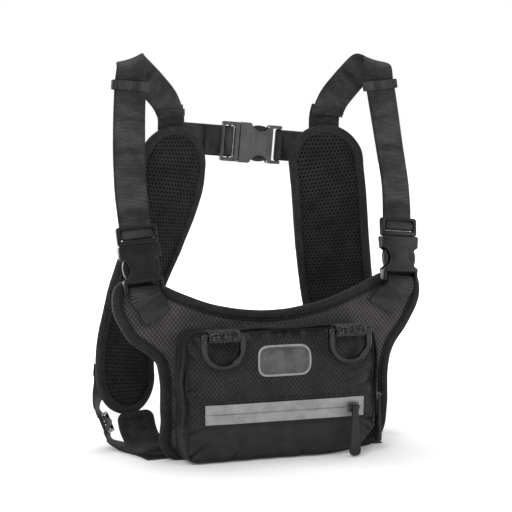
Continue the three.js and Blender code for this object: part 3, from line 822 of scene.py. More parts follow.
class Surface:
    """What a ray meets on a finished soft piece."""

    def __init__(self, obj):
        points, faces = coordinates(obj), [tuple(p.vertices) for p in obj.data.polygons]
        self.tree = BVHTree.FromPolygons(points.tolist(), faces)

    def hit(self, origin, direction):
        place, normal, _, _ = self.tree.ray_cast(Vector(origin), Vector(direction).normalized())
        if place is None:
            return np.array(origin, float), -unit(direction)
        return np.array(place), np.array(normal)

    def drape(self, points, direction, lift):
        """Points laid on the surface along a direction, with the normals there."""
        laid = [self.hit(p, direction) for p in points]
        place = np.array([p for p, _ in laid])
        normal = unit(np.array([n for _, n in laid]))
        return place + normal * lift, normal


def smoothed(values, times=1, closed=False):
    v = np.array(values, float)
    for _ in range(times):
        around = (np.roll(v, 1, 0) + 2 * v + np.roll(v, -1, 0)) / 4
        if closed:
            v = around
        else:
            v[1:-1] = around[1:-1]
    return v


def stitches(line, across=0.0, lift=0.0, pitch=3.4):
    """A row of thread stitches along a line."""
    length, radius = 2.3, 0.3
    start = line.point + line.across * across + line.normal * lift
    points, (normals, sides), _, _ = even(start, pitch, line.closed, [line.normal, line.across])
    ring = [(math.cos(a), math.sin(a)) for a in np.linspace(0, 2 * math.pi, 6, endpoint=False)]
    shape = [(-0.5, 0.35), (-0.3, 0.95), (0.3, 0.95), (0.5, 0.35)]
    parts = []
    for p, t, n, side in zip(points, tangents(points, line.closed), normals, sides):
        rows = [
            p + t * s * length + side * c * radius * wide + n * q * radius * wide
            for s, wide in shape for c, q in ring
        ]
        parts.append((np.array(rows), tube(len(shape), len(ring))))
    return merged(*parts)


# ---- Stage ------------------------------------------------------------------------------------------
def stage():
    """A white floor that runs into a white background, soft lamps and the camera."""
    mesh = bpy.data.meshes.new("floor")
    half = 6
    corners = [(-half, -half, 0), (half, -half, 0), (half, half, 0), (-half, half, 0)]
    mesh.from_pydata(corners, [], [(0, 1, 2, 3)])
    mesh.materials.append(sweep_white())
    added("floor", mesh)
    studio_light()
    camera()
    bpy.context.scene.view_settings.view_transform = "Standard"


def studio_light():
    world = bpy.data.worlds.new("studio")
    bpy.context.scene.world = world
    world.use_nodes = True
    nodes, links = world.node_tree.nodes, world.node_tree.links
    seen = nodes.new("ShaderNodeLightPath").outputs["Is Camera Ray"]
    strength = nodes.new("ShaderNodeMapRange")
    links.new(seen, strength.inputs[0])
    strength.inputs[3].default_value, strength.inputs[4].default_value = AMBIENT, 1.0
    nodes["Background"].inputs[0].default_value = (1, 1, 1, 1)
    links.new(strength.outputs[0], nodes["Background"].inputs[1])
    target = Vector((0, 0, 0.2))
    for name, place, size, power in LAMPS:
        data = bpy.data.lights.new(name, "AREA")
        data.size, data.energy = size, power
        lamp = added(name, data)
        lamp.location = place
        lamp.rotation_euler = (target - Vector(place)).to_track_quat("-Z", "Y").to_euler()


def camera():
    data = bpy.data.cameras.new("camera")
    data.sensor_width, data.lens = 36, 139.2
    made = added("camera", data)
    azimuth, elevation, distance = math.radians(-21), math.radians(5.5), 2.2
    aim = Vector((-0.0105, -0.02003, 0.21988))
    level = math.cos(elevation)
    away = Vector((math.sin(azimuth) * level, -math.cos(azimuth) * level, math.sin(elevation)))
    made.location = aim + away * distance
    made.rotation_euler = away.to_track_quat("Z", "Y").to_euler()
    bpy.context.scene.camera = made


def sweep_white():
    """White paper under the vest, lit from below further out, so that it meets the background unseen."""
    s = Shader("floor_white", 0.9, Specular_IOR_Level=0.0)
    far = s.node("VectorMath", s.place(), operation="LENGTH", out=1)
    s.surface.inputs["Emission Color"].default_value = (1, 1, 1, 1)
    s.feed(s.surface.inputs["Emission Strength"], s.ramp(far, 250, 900, 0.12, 1.0))
    return s.finish((0.9, 0.9, 0.9, 1))


# ---- Chest panel --------------------------------------------------------------------------------------
def panel_pad():
    outline, _ = panel_outline(BINDING - 1.5)
    front = lambda d: PANEL_FRONT + 1.7 - 0.7 * float(ease(d, 0, 0.12))
    back = lambda d: PANEL_BACK - 1.5 + 0.6 * float(ease(d, 0, 0.12))
    obj = remeshed("panel_pad_padded", pillow(outline[:, [0, 2]], front, back), 4.2)
    co = coordinates(obj)
    rim = nearest_distance(co[:, [0, 2]], outline[:, [0, 2]])
    under = (np.abs(co[:, 0]) < 106) & (co[:, 2] > 10) & (co[:, 2] < 141) & (co[:, 1] < -14)
    return obj, (rim < 4) | under


def gaps(points, line, count=3000):
    """Squared distances from all points to all points of a line, a few thousand points at a time."""
    for first in range(0, len(points), count):
        yield ((points[first:first + count, None] - line[None]) ** 2).sum(2)


def nearest_distance(points, line):
    return np.concatenate([np.sqrt(part).min(1) for part in gaps(points, line)])


def finish_panel(obj):
    co = coordinates(obj)
    behind = (np.abs(co[:, 0]) < 113) & (co[:, 2] < 148)
    limit = np.where(behind, -20.25, -24.5)
    co[:, 1] = np.clip(co[:, 1], limit, -8.6)
    ripple(co, 0.35, 0.045, axis=1, where=~behind & (co[:, 1] < -15))
    set_coordinates(obj, co)
    two_sided(obj, RIPSTOP, MESH)
    settle(obj, "vest", ["panel_shell", "panel_pad"])


def ripple(co, height, scale, axis, where):
    """Small soft waves, moved along one axis."""
    for i in np.flatnonzero(where):
        x, y, z = co[i] * scale
        co[i, axis] += height * noise.fractal((x, y, z), 0.6, 2.1, 3)


def two_sided(obj, front, back):
    """The front material where the faces look to -y, the other behind."""
    mesh = obj.data
    dressed(mesh, front, back)
    behind = read(mesh.polygons, "normal", 3)[:, 1] > 0.1
    mesh.polygons.foreach_set("material_index", behind.astype(np.int32))
    planar_weave(mesh)


def panel_trim(panel):
    points, out = panel_outline(4.4, 3.0)
    points[:, 1] = (PANEL_FRONT + PANEL_BACK) / 2
    line = Laid(points, (0, -1, 0), closed=True)
    piece("panel_binding_tape", bound(line, 5.1, 5.5, 0.035), TAPE, "vest", "binding", ["panel_binding"])
    inner, _ = panel_outline(10.4, 2.5)
    inner[:, 1] = -60
    laid, found = Surface(panel).drape(inner, (0, 1, 0), 0.35)
    cord = Laid(smoothed(laid, 4, True), smoothed(found, 4, True), closed=True)
    piece("panel_piping", sweep(cord, superellipse(1.3, 1.25, 10, 2)), TAPE, "vest", "binding")
    for name, face in (("stitches", -1), ("stitches_back", 1)):
        seam = Laid(points - out * 3.1 + (0, 5.35 * face, 0), (0, face, 0), closed=True)
        piece(f"panel_binding_{name}", stitches(seam), THREAD, "vest", "binding")


def bound(line, half, depth, swell):
    """Tape bound round an edge, a little uneven along it."""
    uneven = 1 + swell * np.array([noise.noise(Vector(p) * 0.09) for p in line.point])
    return sweep(line, superellipse(half, depth, 22, 2.7), scale=uneven, taper=uneven)


# ---- Pouch ----------------------------------------------------------------------------------------------
POUCH_RADII = (26, 17, 15, 14)


def pouch_start():
    half, bottom, top = POUCH["half"], POUCH["bottom"], POUCH["top"]
    outline = rounded_outline(-half + 1.2, bottom + 0.6, half - 1.2, top - 1.2, POUCH_RADII)
    front = lambda d: -50.5 - 7.5 * float(ease(d, 0.0, 0.2)) ** 0.7
    back = lambda d: POUCH["back"]
    obj = remeshed("pouch_body", pillow(outline, front, back, 30), 4.6)
    co = coordinates(obj)
    zip_band = (co[:, 1] < -50) & (np.abs(co[:, 2] - ZIP_Z) < 9) & (np.abs(co[:, 0]) < 96)
    return obj, (co[:, 1] > -25) | zip_band


# Creases of the pouch's front, as (x, z) to (x, z), how far it sinks or rises there, and the half width; each
# also paints shade and highlight into the cloth's colour.
CREASES = [
    ((-108, 144), (-80, 116), 5.0, 3.4), ((-96, 148), (-88, 124), -2.4, 3.5),
    ((-111, 126), (-94, 110), 2.8, 3.2), ((-54, 148), (-60, 120), 3.2, 3),
    ((-36, 148), (-33, 132), 2.6, 2.6), ((-8, 148), (-4, 134), 2.0, 2.6),
    ((22, 148), (19, 132), 2.6, 2.6), ((48, 148), (55, 124), 3.4, 3), ((98, 147), (91, 108), 4.4, 3.4),
    ((110, 141), (96, 114), 4.6, 3.2), ((112, 120), (86, 106), 3.2, 3.2), ((113, 99), (58, 79), -2.6, 4.4),
    ((113, 87), (80, 75), 4.2, 2.8), ((111, 38), (82, 47), 3.6, 3.2), ((107, 22), (88, 41), 4.2, 3.4),
    ((95, 9), (72, 30), -2.6, 4.5), ((-111, 36), (-88, 45), 3.2, 3.2), ((-106, 12), (-84, 31), 3.4, 3.6),
    ((-60, 4), (-50, 22), 2.0, 3.4), ((22, 4), (30, 20), 2.0, 3.4), ((-108, 84), (-92, 88), 2.4, 3),
]


def crease(x, z, start, end, depth, width):
    """How far one crease moves each point of the front, and the painted shade down it and painted highlight on
    its edges; both fade towards its end.
    """
    (x0, z0), (x1, z1) = start, end
    span = np.array([x1 - x0, z1 - z0], float)
    share = np.clip(((x - x0) * span[0] + (z - z0) * span[1]) / (span @ span), 0, 1)
    gap = np.hypot(x - x0 - share * span[0], z - z0 - share * span[1])
    fade = 1 - 0.8 * share
    # edges: a ring of painted highlight beside the crease; the tone below is painted shade down the crease,
    # less that highlight.
    edges = np.exp(-(((gap - 1.2 * width) / (0.5 * width)) ** 2))
    sunk = (1.05 * np.exp(-((gap / (0.5 * width)) ** 2)) - 0.4 * edges) * fade
    return depth * np.exp(-((gap / width) ** 2)) * fade, sunk if depth > 0 else -0.6 * fade * edges


def creased(co):
    """Moves the front's points into its creases and pleats, and gives the painted shade and highlight for the
    cloth there.
    """
    x, y, z = co.T
    band = ease(14 - np.abs(z - ZIP_Z), 0, 6) * ease(103 - np.abs(x), 0, 12) * ease(-y, 48, 54)
    front = ease(-y, 46, 56)
    y += 1.8 * front * np.exp(-((x / 62) ** 2) - ((z - 90) / 15) ** 2)
    tone = np.zeros(len(co))
    for row in CREASES:
        sunk, shade = crease(x, z, *row)
        y += front * (1 - band) * sunk
        # tone: painted shade in the creases and painted highlight on their edges.
        tone += ease(-y, 38, 48) * (1 - band) * shade
    gather = np.exp(-(((z - 146) / 9) ** 2)) * ease(-y, 40, 52)
    pleats = gather * np.sin(x / 2.7 + 2 * np.sin(x / 11))
    y += 1.8 * pleats
    flat = -61.3 + 2.2 * ease(np.abs(x), 60, 100)
    y += (flat - y) * band
    # The pleats also paint shade and highlight into the tone.
    return tone + 0.6 * pleats


def slackened(co):
    """Waves of the front's edge, sag of the gusset and the lower corner that is drawn up, within limits."""
    x, y, z = co.T
    edge = ease(-y, 44, 50) * (1 - ease(-y, 57, 61))
    y += 0.6 * edge * np.sin((x + z) / 4.3)
    gusset = (1 - ease(-y, 50, 56)) * ease(-y, 22, 27)
    sag = 1.3 * gusset * np.sin((x * 0.7 + z) / 9.0)
    x += np.sign(x) * ease(np.abs(x), 100, 110) * sag
    z += ease(z, 136, 144) * sag * 0.6
    z += 9 * ease(x, 40, 112) * (1 - ease(z, 4, 52)) * ease(-y, 26, 50)
    ripple(co, 1.0, 0.035, axis=1, where=(y < -48) & (np.abs(z - ZIP_Z) > 14))
    co[:, 1] = np.clip(y, -65.5, POUCH["back"])
    co[:, 2] = np.clip(z, POUCH["bottom"] - 0.1, POUCH["top"] + 3)
    co[:, 0] = np.clip(x, -POUCH["half"] - 2, POUCH["half"] + 0.2)


def finish_pouch(obj):
    co = coordinates(obj)
    tone = creased(co)
    slackened(co)
    set_coordinates(obj, co)
    mesh = obj.data
    # The "fold" attribute holds the creases' painted shade and painted highlight for the cloth's colour.
    store(mesh, "fold", np.clip(tone, -1, 1), "POINT")
    dressed(mesh, POUCH_RIPSTOP, CANVAS)
    for face in mesh.polygons:
        height = (face.center[2] - SHIFT[2]) / MM
        face.material_index = int(height < ZIP_Z - 12 or face.normal[1] > -0.45)
    planar_weave(mesh)
    settle(obj, "vest", ["pouch_shell", "pocket_divider"])


def front_line(surface, points, lift, times=3, closed=False):
    """A line laid on the pouch's front."""
    start = [(x, -110, z) for x, z in points]
    laid, normals = surface.drape(start, (0, 1, 0), lift)
    return Laid(smoothed(laid, times, closed), smoothed(normals, times + 2, closed), closed)


def gusset_line(surface, y, lift, spacing=3.0, start=None):
    """A line round the pouch at a depth y: all round, or over the top from a height start on each side."""
    half, bottom, top = POUCH["half"], POUCH["bottom"], POUCH["top"]
    loop = rounded_outline(-half, bottom, half, top, POUCH_RADII, spacing)
    out = unit(np.stack([np.gradient(loop[:, 1]), -np.gradient(loop[:, 0])], 1))
    if start:
        keep = loop[:, 1] > start
        first = int(np.flatnonzero(keep & ~np.roll(keep, 1))[0])
        loop, out, keep = (np.roll(v, -first, 0) for v in (loop, out, keep))
        loop, out = loop[keep], out[keep]
    closed = not start
    laid = [surface.hit((x + u * 30, y, z + v * 30), (-u, 0, -v))[0] for (x, z), (u, v) in zip(loop, out)]
    normals = unit(smoothed([(u, 0, v) for u, v in out], 2, closed))
    return Laid(smoothed(laid, 4, closed) + normals * lift, normals, closed)


def inset_outline(inset, less=None):
    """The pouch's front outline moved in, with its corners that much tighter."""
    half, bottom, top = POUCH["half"], POUCH["bottom"], POUCH["top"]
    radii = [r - (less or inset) for r in POUCH_RADII]
    return rounded_outline(-half + inset, bottom + inset, half - inset, top - inset, radii, 2.5)


def pouch_trim(pouch):
    surface = Surface(pouch)
    edge = front_line(surface, inset_outline(3.2), 0.3, 4, closed=True)
    piece("pouch_front_piping", sweep(edge, superellipse(1.9, 1.7, 12, 2)), TAPE, "vest", "binding")
    seam = front_line(surface, inset_outline(7, 6), 0.15, 2, closed=True)
    piece("pouch_front_stitches", stitches(seam), THREAD, "vest", "binding")
    back = gusset_line(surface, -22.6, 0.2)
    piece("pouch_back_piping", sweep(back, superellipse(1.6, 1.4, 10, 2)), TAPE, "vest", "binding")
    for side, sign, cloth in (("upper", 1, POUCH_RIPSTOP), ("lower", -1, CANVAS)):
        rows = [[(x, ZIP_Z + sign * off) for x in np.arange(-107, 107.5, 2.5)] for off in (12.6, 15.4)]
        fold_over = sweep(front_line(surface, rows[0], 0.25, 6), superellipse(1.9, 0.75, 12, 2.4))
        piece(f"pouch_seam_{side}", fold_over, cloth, "vest", "ripstop")
        thread = stitches(front_line(surface, rows[1], 0.15, 3))
        piece(f"pouch_seam_stitches_{side}", thread, THREAD, "vest", "binding")
    front_zip(surface)
    main_zip(surface)
    badge(surface)
    for label, x in (("right", -95.5), ("left", 97.5)):
        end = front_line(surface, [(x, z) for z in np.arange(ZIP_Z - 11, ZIP_Z + 11.5, 2)], 0.15, 2)
        piece(f"zip_end_stitches_{label}", stitches(end), THREAD, "vest", "binding")


def zip_tapes(line, half, depth, count, off):
    return merged(*[sweep(line, superellipse(half, depth, count, 5) + (sign * off, 0)) for sign in (-1, 1)])


def front_zip(surface):
    line = front_line(surface, [(x, ZIP_Z) for x in np.arange(-92, 94.5, 2)], 0.75, 8)
    tapes = zip_tapes(line, 5.2, 0.55, 20, 5.6)
    piece("front_zip_reflective_tape", tapes, REFLECTIVE, "vest", "reflective", ["front_zip_tape"])
    teeth = coil_teeth(line, 1.5, 1.05, 0.55)
    piece("front_zip_teeth", teeth, REFLECTIVE, "vest", "zip_tape", ["front_zip_coil"])


def coil_teeth(line, pitch, half_width, height):
    """The coil's turns, seen from above as short slanted bars."""
    points, (normals, sides), _, _ = even(line.point, pitch, line.closed, [line.normal, line.across])
    section = superellipse(pitch * 0.36, height, 8, 2)
    parts = []
    for p, t, n, side in zip(points, tangents(points, False), normals, sides):
        ends = [p + n * 0.1 + (side + t * 0.25) * half_width * k for k in (-1, -0.6, 0.6, 1)]
        rows = [e + t * a * w + n * b * w for e, w in zip(ends, (0.45, 1, 1, 0.45)) for a, b in section]
        parts.append((np.array(rows), tube(len(ends), len(section))))
    return merged(*parts)


def main_zip(surface):
    line = gusset_line(surface, -41, 0.8, 2.5, start=44)
    tapes = zip_tapes(line, 5.2, 0.6, 16, 6.8)
    piece("main_zip_fabric", tapes, ZIP, "vest", "zip_tape", ["main_zip_tape"])
    piece("main_zip_teeth", coil_teeth(line, 1.6, 1.7, 0.8), COIL, "vest", "zip_tape")
    for label, off in (("front", 12.6), ("back", -12.6)):
        piece(f"main_zip_stitches_{label}", stitches(line, off, -0.4), THREAD, "vest", "binding")


def badge(surface):
    """A plain reflective patch with a raised stitched border."""
    left, bottom, right, top = -31, 98, 29, 129
    outline = rounded_outline(left, bottom, right, top, 9, 2.0)
    points, faces = pillow(outline, lambda d: -0.6, lambda d: 0.0, 14)
    laid, _ = surface.drape([(x, -110, z) for x, _, z in points], (0, 1, 0), 0)
    points[:, 1] += laid[:, 1] - 0.45
    piece("badge_patch", (points, faces), PATCH, "vest", "reflective", ["badge"])
    edge = front_line(surface, outline, 0.95, 2, True)
    piece("badge_border", sweep(edge, superellipse(1.3, 0.8, 10, 2.2)), REFLECTIVE, "vest", "reflective")
    inset = 3.4
    ring = rounded_outline(left + inset, bottom + inset, right - inset, top - inset, 6, 2.0)
    made = stitches(front_line(surface, ring, 1.0, 2, True))
    piece("badge_stitches", made, THREAD, "vest", "reflective")


# ---- Wings and tongues ------------------------------------------------------------------------------
def row_at(line, far):
    """Place, across and normal at given distances along a line."""
    place, across, normal = (at_far(far, line.far, v) for v in (line.point, line.across, line.normal))
    return place, unit(across), unit(normal)


def wrapped_loop(line, half, inset, corner, spacing=3.0):
    """The closed edge of a band, inset, with its corners rounded by that radius."""
    half, corner = half - inset, corner - inset
    start, end = inset, line.length - inset
    turn = np.radians(np.linspace(0, 90, max(6, round(corner * 1.6 / spacing)) + 1))
    bend = corner * np.sin(turn), corner * (1 - np.cos(turn))
    straight = np.arange(start + corner, end - corner, spacing)[1:-1]
    wide = half - corner
    flat = np.linspace(-wide, wide, max(2, round(2 * wide / spacing)) + 1)[1:-1]
    across = np.concatenate([
        np.full(len(straight), half), wide + bend[0][::-1], flat[::-1], -wide - bend[0],
        np.full(len(straight), -half), -wide - bend[0][::-1], flat, wide + bend[0],
    ])
    far = np.concatenate([
        straight, end - bend[1][::-1], np.full(len(flat), end), end - bend[1],
        straight[::-1], start + bend[1][::-1], np.full(len(flat), start), start + bend[1],
    ])
    place, side, normal = row_at(line, far)
    return place + side * across[:, None], normal


def route_weave(obj, line):
    """Pattern coordinates of a padded band: across it and along it."""
    co = coordinates(obj)
    near = np.concatenate([part.argmin(1) for part in gaps(co, line.point)])
    offset = co - line.point[near]
    far = line.far[near] + (offset * line.tangent[near]).sum(1)
    across = (offset * line.across[near]).sum(1)
    store(obj.data, "weave", np.stack([across, far, np.zeros_like(far)], 1), "POINT")


def band_pad(name, path, half, depth, inset, corner, voxel, spacing=3.0):
    """A padded band with rounded ends, a little thin, ready to inflate; and where it is held."""
    line = Line(path, spacing)
    edge, _ = wrapped_loop(line, half, inset, corner, spacing)
    rows = (line.far > inset) & (line.far < line.length - inset)
    cut = Line(path, spacing)
    for key in ("point", "across", "normal", "tangent", "far"):
        setattr(cut, key, getattr(line, key)[rows])
    from_end = np.minimum(cut.far - inset, line.length - inset - cut.far)
    radius = corner - inset
    short = np.clip(radius - from_end, 0, radius)
    wide = (half - inset - radius + np.sqrt(np.clip(radius**2 - short**2, 0, None))) / (half - inset)
    made = sweep(cut, superellipse(half - inset, depth / 2, 28, 5), scale=np.maximum(wide, 0.2))
    obj = remeshed(name, made, voxel)
    return obj, nearest_distance(coordinates(obj), edge) < 5.0, line


def mirrored(obj, name):
    """The other side's copy of a finished left piece."""
    mesh = obj.data.copy()
    mesh.vertices.foreach_set("co", (read(mesh.vertices, "co", 3) * (-1, 1, 1)).ravel())
    mesh.flip_normals()
    return added(name, mesh)


def finish_band(obj, line, node, fabric):
    """A band's pad, on both sides, in its fabric."""
    dressed(obj.data, fabric)
    route_weave(obj, line)
    for made, side in ((obj, "left"), (mirrored(obj, obj.name.replace("left", "right")), "right")):
        settle(made, "vest", [f"{node}_{side}"])


def band_edge(name, line, half, corner, depth, nodes=()):
    """The tape bound round a band, and its stitches on both faces."""
    loop = Laid(*wrapped_loop(line, half, 4.5, corner, 2.6), closed=True)
    both(f"{name}_binding_tape", bound(loop, 4.9, depth, 0.04), TAPE, "binding", nodes)
    inner, up = wrapped_loop(line, half, 7.4, corner, 2.6)
    for face, sign in (("outer", 1), ("inner", -1)):
        row = Laid(inner + up * sign * (depth - 0.55), up * sign, closed=True)
        both(f"{name}_stitches_{face}", stitches(row, pitch=3.6), THREAD, "binding")


# ---- Webbing ----------------------------------------------------------------------------------------
def strap(path, width=WEBBING, depth=WEB):
    """A length of webbing along a route."""
    return sweep(Line(path, 2.0), web_section(width, depth))


def sided(names, side):
    """Those names that end in _ with the side's name after it."""
    return [n + side if n.endswith("_") else n for n in names]


def both(name, made, material, slot, nodes=(), body="vest"):
    """The same piece for the two sides."""
    for side, mirror in SIDES:
        piece(f"{name}_{side}", made, material, *sided([body], side), slot, sided(nodes, side), mirror)


def carried(obj, nodes):
    """Hides the CAD nodes that the webbing replaces and fixes the webbing's place in its mesh, on no body."""
    if nodes:
        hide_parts(*nodes)
    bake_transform(obj)


def both_carried(name, route, nodes):
    """The same webbing for the two sides, each in place of its CAD nodes and on no body."""
    made = strap(route)
    for side, mirror in SIDES:
        obj = piece(f"{name}_{side}", made, STRAP, None, None, mirror=mirror)
        carried(obj, sided(nodes, side))


def fold(start, up, down, radius):
    """The webbing's half turn over the shoulder, round a slanted roll, as route points."""
    rising = unit(up)
    axis = unit(rising + unit(down))
    slant = rising @ axis
    straight = math.sqrt(1 - slant**2)
    upright = unit(rising - axis * slant)
    front = np.cross(upright, axis)
    route = []
    for turn in np.radians(range(0, 181, 30)):
        out = front * math.cos(turn) + upright * math.sin(turn)
        tangent = (upright * math.cos(turn) - front * math.sin(turn)) * straight + axis * slant
        at = np.array(start) + (out - front + axis * slant / straight * turn) * radius
        route.append((tuple(at), tuple(np.cross(tangent, out))))
    return route


def lower_shoulder_webbing():
    """The adjustable run: down from the keeper, round the plug's ladder bar and back up as the tail."""
    tail = [((x, y - TAIL_OFFSET, z), side) for (x, y, z), side in reversed(SHOULDER_FRONT)]
    route = tail + threaded(FRONT, LADDER) + SHOULDER_FRONT
    both_carried("strap_webbing_lower", route, ["shoulder_strap_lower_"])


def upper_shoulder_webbing():
    """The run over the shoulder, narrower where it folds, and its sewn hem."""
    (x, y, z), side = SHOULDER_FRONT[-1]
    turn = fold(**FOLD)
    line = Line([((x + 0.1, y - 0.2, z - 1), side)] + turn + SHOULDER_BACK[:-1] + [HEM], 2.0)
    gap = np.linalg.norm(line.point - turn[3][0], axis=1)
    made = sweep(line, web_section(), scale=1 - 0.17 * np.exp(-((gap / 11) ** 2)))
    both("strap_webbing_upper", made, STRAP, "webbing", ["shoulder_strap_upper_"])
    (x, y, z), side = HEM
    hem = strap([((x + dz * 0.03, y - 1.5, z + dz), side) for dz in (7, 3.5, 0, -0.6)], WEBBING + 1, 1.8)
    both("strap_hem", hem, STRAP, "webbing")
    for row, dz in (("upper", 5.2), ("lower", 1.6)):
        across = [np.array((x, y - 2.5, z + dz)) + np.array(side) * k for k in np.arange(-15, 15.5, 2.5)]
        both(f"strap_hem_stitches_{row}", stitches(Laid(across, (0, -1, 0))), THREAD, "binding")


def sewn_tabs():
    """The yoke's webbing from the hem to the wing, and the loops that hold the front sockets."""
    both("yoke_webbing", strap(YOKE_PATH), STRAP, "webbing", ["yoke_tab_"])
    on_panel = [
        ((143, -31.5, 178), (0.93, 0, -0.36)), ((137, -24, 169), (0.87, 0, -0.5)),
        ((132, -21.8, 161), (0.83, 0, -0.55)),
    ]
    tab = strap(threaded(FRONT, BAR_LOOP) + on_panel, WEBBING - 1.5)
    both("buckle_webbing", tab, SHADED_TAB, "webbing", ["buckle_tab_"])


def side_webbing():
    """Two runs that meet behind the slide's middle bar."""
    flat = (1, 0, 0)
    through = threaded(SLIDE, THROUGH_ADJUSTER)
    bar_row = len(through) // 2
    low = [
        ((124, -7, 3.8), flat), ((126, 16, 3.8), flat),
        ((132, 40, 3.9), flat), ((143, 60, 6), (0.8, -0.5, 0)),
    ]
    high = [((168, 83, 66), (0.7, -0.7, 0)), ((162, 83, 82), WING_ACROSS), ((160.5, 84.5, 98), WING_ACROSS)]
    both_carried(
        "waist_webbing_lower", low + through[:bar_row + 1], ["side_webbing_"],
    )
    both_carried(
        "waist_webbing_upper", through[bar_row:] + high, [],
    )


def back_webbing():
    """The back straps: one through the plug's ladder, the other round the socket's bar."""
    tilt = math.radians(BACK_TILT)
    across = (math.sin(tilt), 0, math.cos(tilt))
    x0, _, z0 = BACK_BUCKLE["at"]
    at = lambda x, y: ((x, y, z0 - (x - x0) * math.tan(tilt)), across)
    plug_end, socket_end = ([at(sign * x, y) for x, y in STRAP_END] for sign in (-1, 1))
    route = [at(-46, 67.4), *threaded(BACK, LADDER[1:]), at(-53, 68.8), at(-62, 64.6), *plug_end]
    right = piece("back_webbing_right", strap(route), STRAP, None, None)
    carried(right, ["back_strap_right"])
    route = [*threaded(BACK, BAR_LOOP[-2::-1]), at(54, 68.6), at(62, 64.8), *socket_end]
    piece("back_webbing_left", strap(route), STRAP, "vest", "webbing", ["back_strap_left"])


def keepers():
    """A band of webbing sewn into a sleeve round the strap's layers."""
    at, across = SHOULDER_FRONT[-1]
    matrix = basis(at, across, np.array(FOLD["start"]) - SHOULDER_FRONT[-2][0])
    half_x, half_y = WEBBING / 2 + 3, 4.5
    loop = rounded(-half_x, -half_y - 1, 2 * half_x, 2 * half_y, 3, 6)
    path = even(np.array([(x, y, 0) for x, y in loop]), 1.5, closed=True)[0]
    line = Laid(path, np.cross(tangents(path, True), (0, 0, 1)), closed=True)
    made = moved(sweep(line, web_section(10, 1.1, 10)), matrix)
    both("keeper_webbing", made, STRAP, "webbing", ["strap_keeper_"], "strap_keeper_")


# ---- Moulded parts ----------------------------------------------------------------------------------
def plate(outlines, back, depth, bevel, segments=3):
    """A plate from x-z outlines, the first one outermost and the rest holes, with rounded edges."""
    curve = bpy.data.curves.new("outline", "CURVE")
    curve.dimensions, curve.fill_mode = "2D", "BOTH"
    curve.extrude, curve.bevel_depth = depth / 2 - bevel, bevel
    curve.bevel_resolution, curve.offset = segments - 1, -bevel
    for outline in outlines:
        run = curve.splines.new("POLY")
        run.points.add(len(outline) - 1)
        for point, (x, z) in zip(run.points, outline):
            point.co = (x, z, 0, 1)
        run.use_cyclic_u = True
    obj = bpy.data.objects.new("outline", curve)
    bpy.context.collection.objects.link(obj)
    made = obj.evaluated_get(bpy.context.evaluated_depsgraph_get()).to_mesh()
    grid = bmesh.new()
    grid.from_mesh(made)
    bmesh.ops.remove_doubles(grid, verts=grid.verts, dist=1e-3)
    bmesh.ops.recalc_face_normals(grid, faces=grid.faces)
    points = np.array([(v.co.x, back - depth / 2 - v.co.z, v.co.y) for v in grid.verts])
    faces = [tuple(v.index for v in f.verts) for f in grid.faces]
    grid.free()
    bpy.data.objects.remove(obj)
    bpy.data.curves.remove(curve)
    return outward((points, faces))


def bar(length, half_y, half_z, at=(0, 0, 0), power=3):
    """A rounded bar along x."""
    line = Laid([(x, 0, 0) for x in np.linspace(-length / 2, length / 2, 8)], (0, -1, 0))
    points, faces, _ = sweep(line, superellipse(half_z, half_y, 16, power))
    return points + at, faces


def waist_outline():
    """The socket's outline, cut in at each side by the thumb window's arc."""
    half = 23
    top = arc((half - 2, -2), 2, 90, 0, 5)
    right = [(half - 0.8, -13)] + arc((half + 3, -25), 12.2, 112, 248, 18) + [(half - 1, -40)]
    return other_half(top) + top + right + other_half(right)


def socket_parts():
    """The socket: two skins on side rails, a web between them below, and the webbing bar."""
    parts = [plate([waist_outline()], back, 2.4, 0.9) for back in (-3.6, 6.0)]
    for sign in (-1, 1):
        mouth = rounded(min(sign * 20.8, sign * 22.9), -13.2, 2.1, 12.4, 0.6)
        leg = rounded(min(sign * 18.2, sign * 21.9), -51, 3.7, 14, 1.4)
        parts += [plate([mouth], 3.8, 7.6, 0.3), plate([leg], 5.4, 10.8, 1.3)]
        rim = arc((sign * 26, -25), 13.4, 118 if sign > 0 else 62, 242 if sign > 0 else -62, 20)
        ridge = Laid([(x, -5.9, z) for x, z in rim], (0, -1, 0))
        parts.append(sweep(ridge, superellipse(0.9, 0.55, 10, 2)))
    parts += [plate([rounded(-20.8, -40.6, 41.6, 4.4, 1)], 3.9, 7.8, 0.4), bar(38, 1.6, 2.6, (0, 0, -48.8))]
    parts += [bar(26, 0.45, 0.7, (0, -5.9, z)) for z in (-33.5, -35.7, -37.9)]
    frame_line = [rounded(-11, -29, 22, 17, 3), rounded(-10.2, -28.2, 20.4, 15.4, 2.4)]
    return merged(*parts, plate(frame_line, -5.7, 0.55, 0.2, 2))


def plug_parts():
    """The plug: a ladder frame with its middle bar, a shoulder and the guide between the arms."""
    parts = [
        plate([rounded(-22.5, 0.4, 45, 20.6, 3), rounded(-18.3, 5.8, 36.6, 12.0, 1.2)], 3.5, 7, 1.0),
        bar(38.4, 1.5, 1.4, (0, -0.4, 11.4)),
        plate([rounded(-20.6, 0.4, 41.2, 5.2, 1.6)], 5.4, 10.8, 1.2),
        plate([rounded(-3, -26, 6, 28, 1.4)], 2.8, 5.6, 0.6),
    ]
    return merged(*parts, *(bar(30, 0.4, 0.5, (0, -3.5, z)) for z in (18.7, 19.8)))


def bezier(*points, count=8):
    t = np.linspace(0, 1, count)[1:, None]
    a, b, c, d = map(np.array, points)
    return [tuple(v) for v in (1 - t) ** 3 * a + 3 * t * (1 - t) ** 2 * b + 3 * t**2 * (1 - t) * c + t**3 * d]


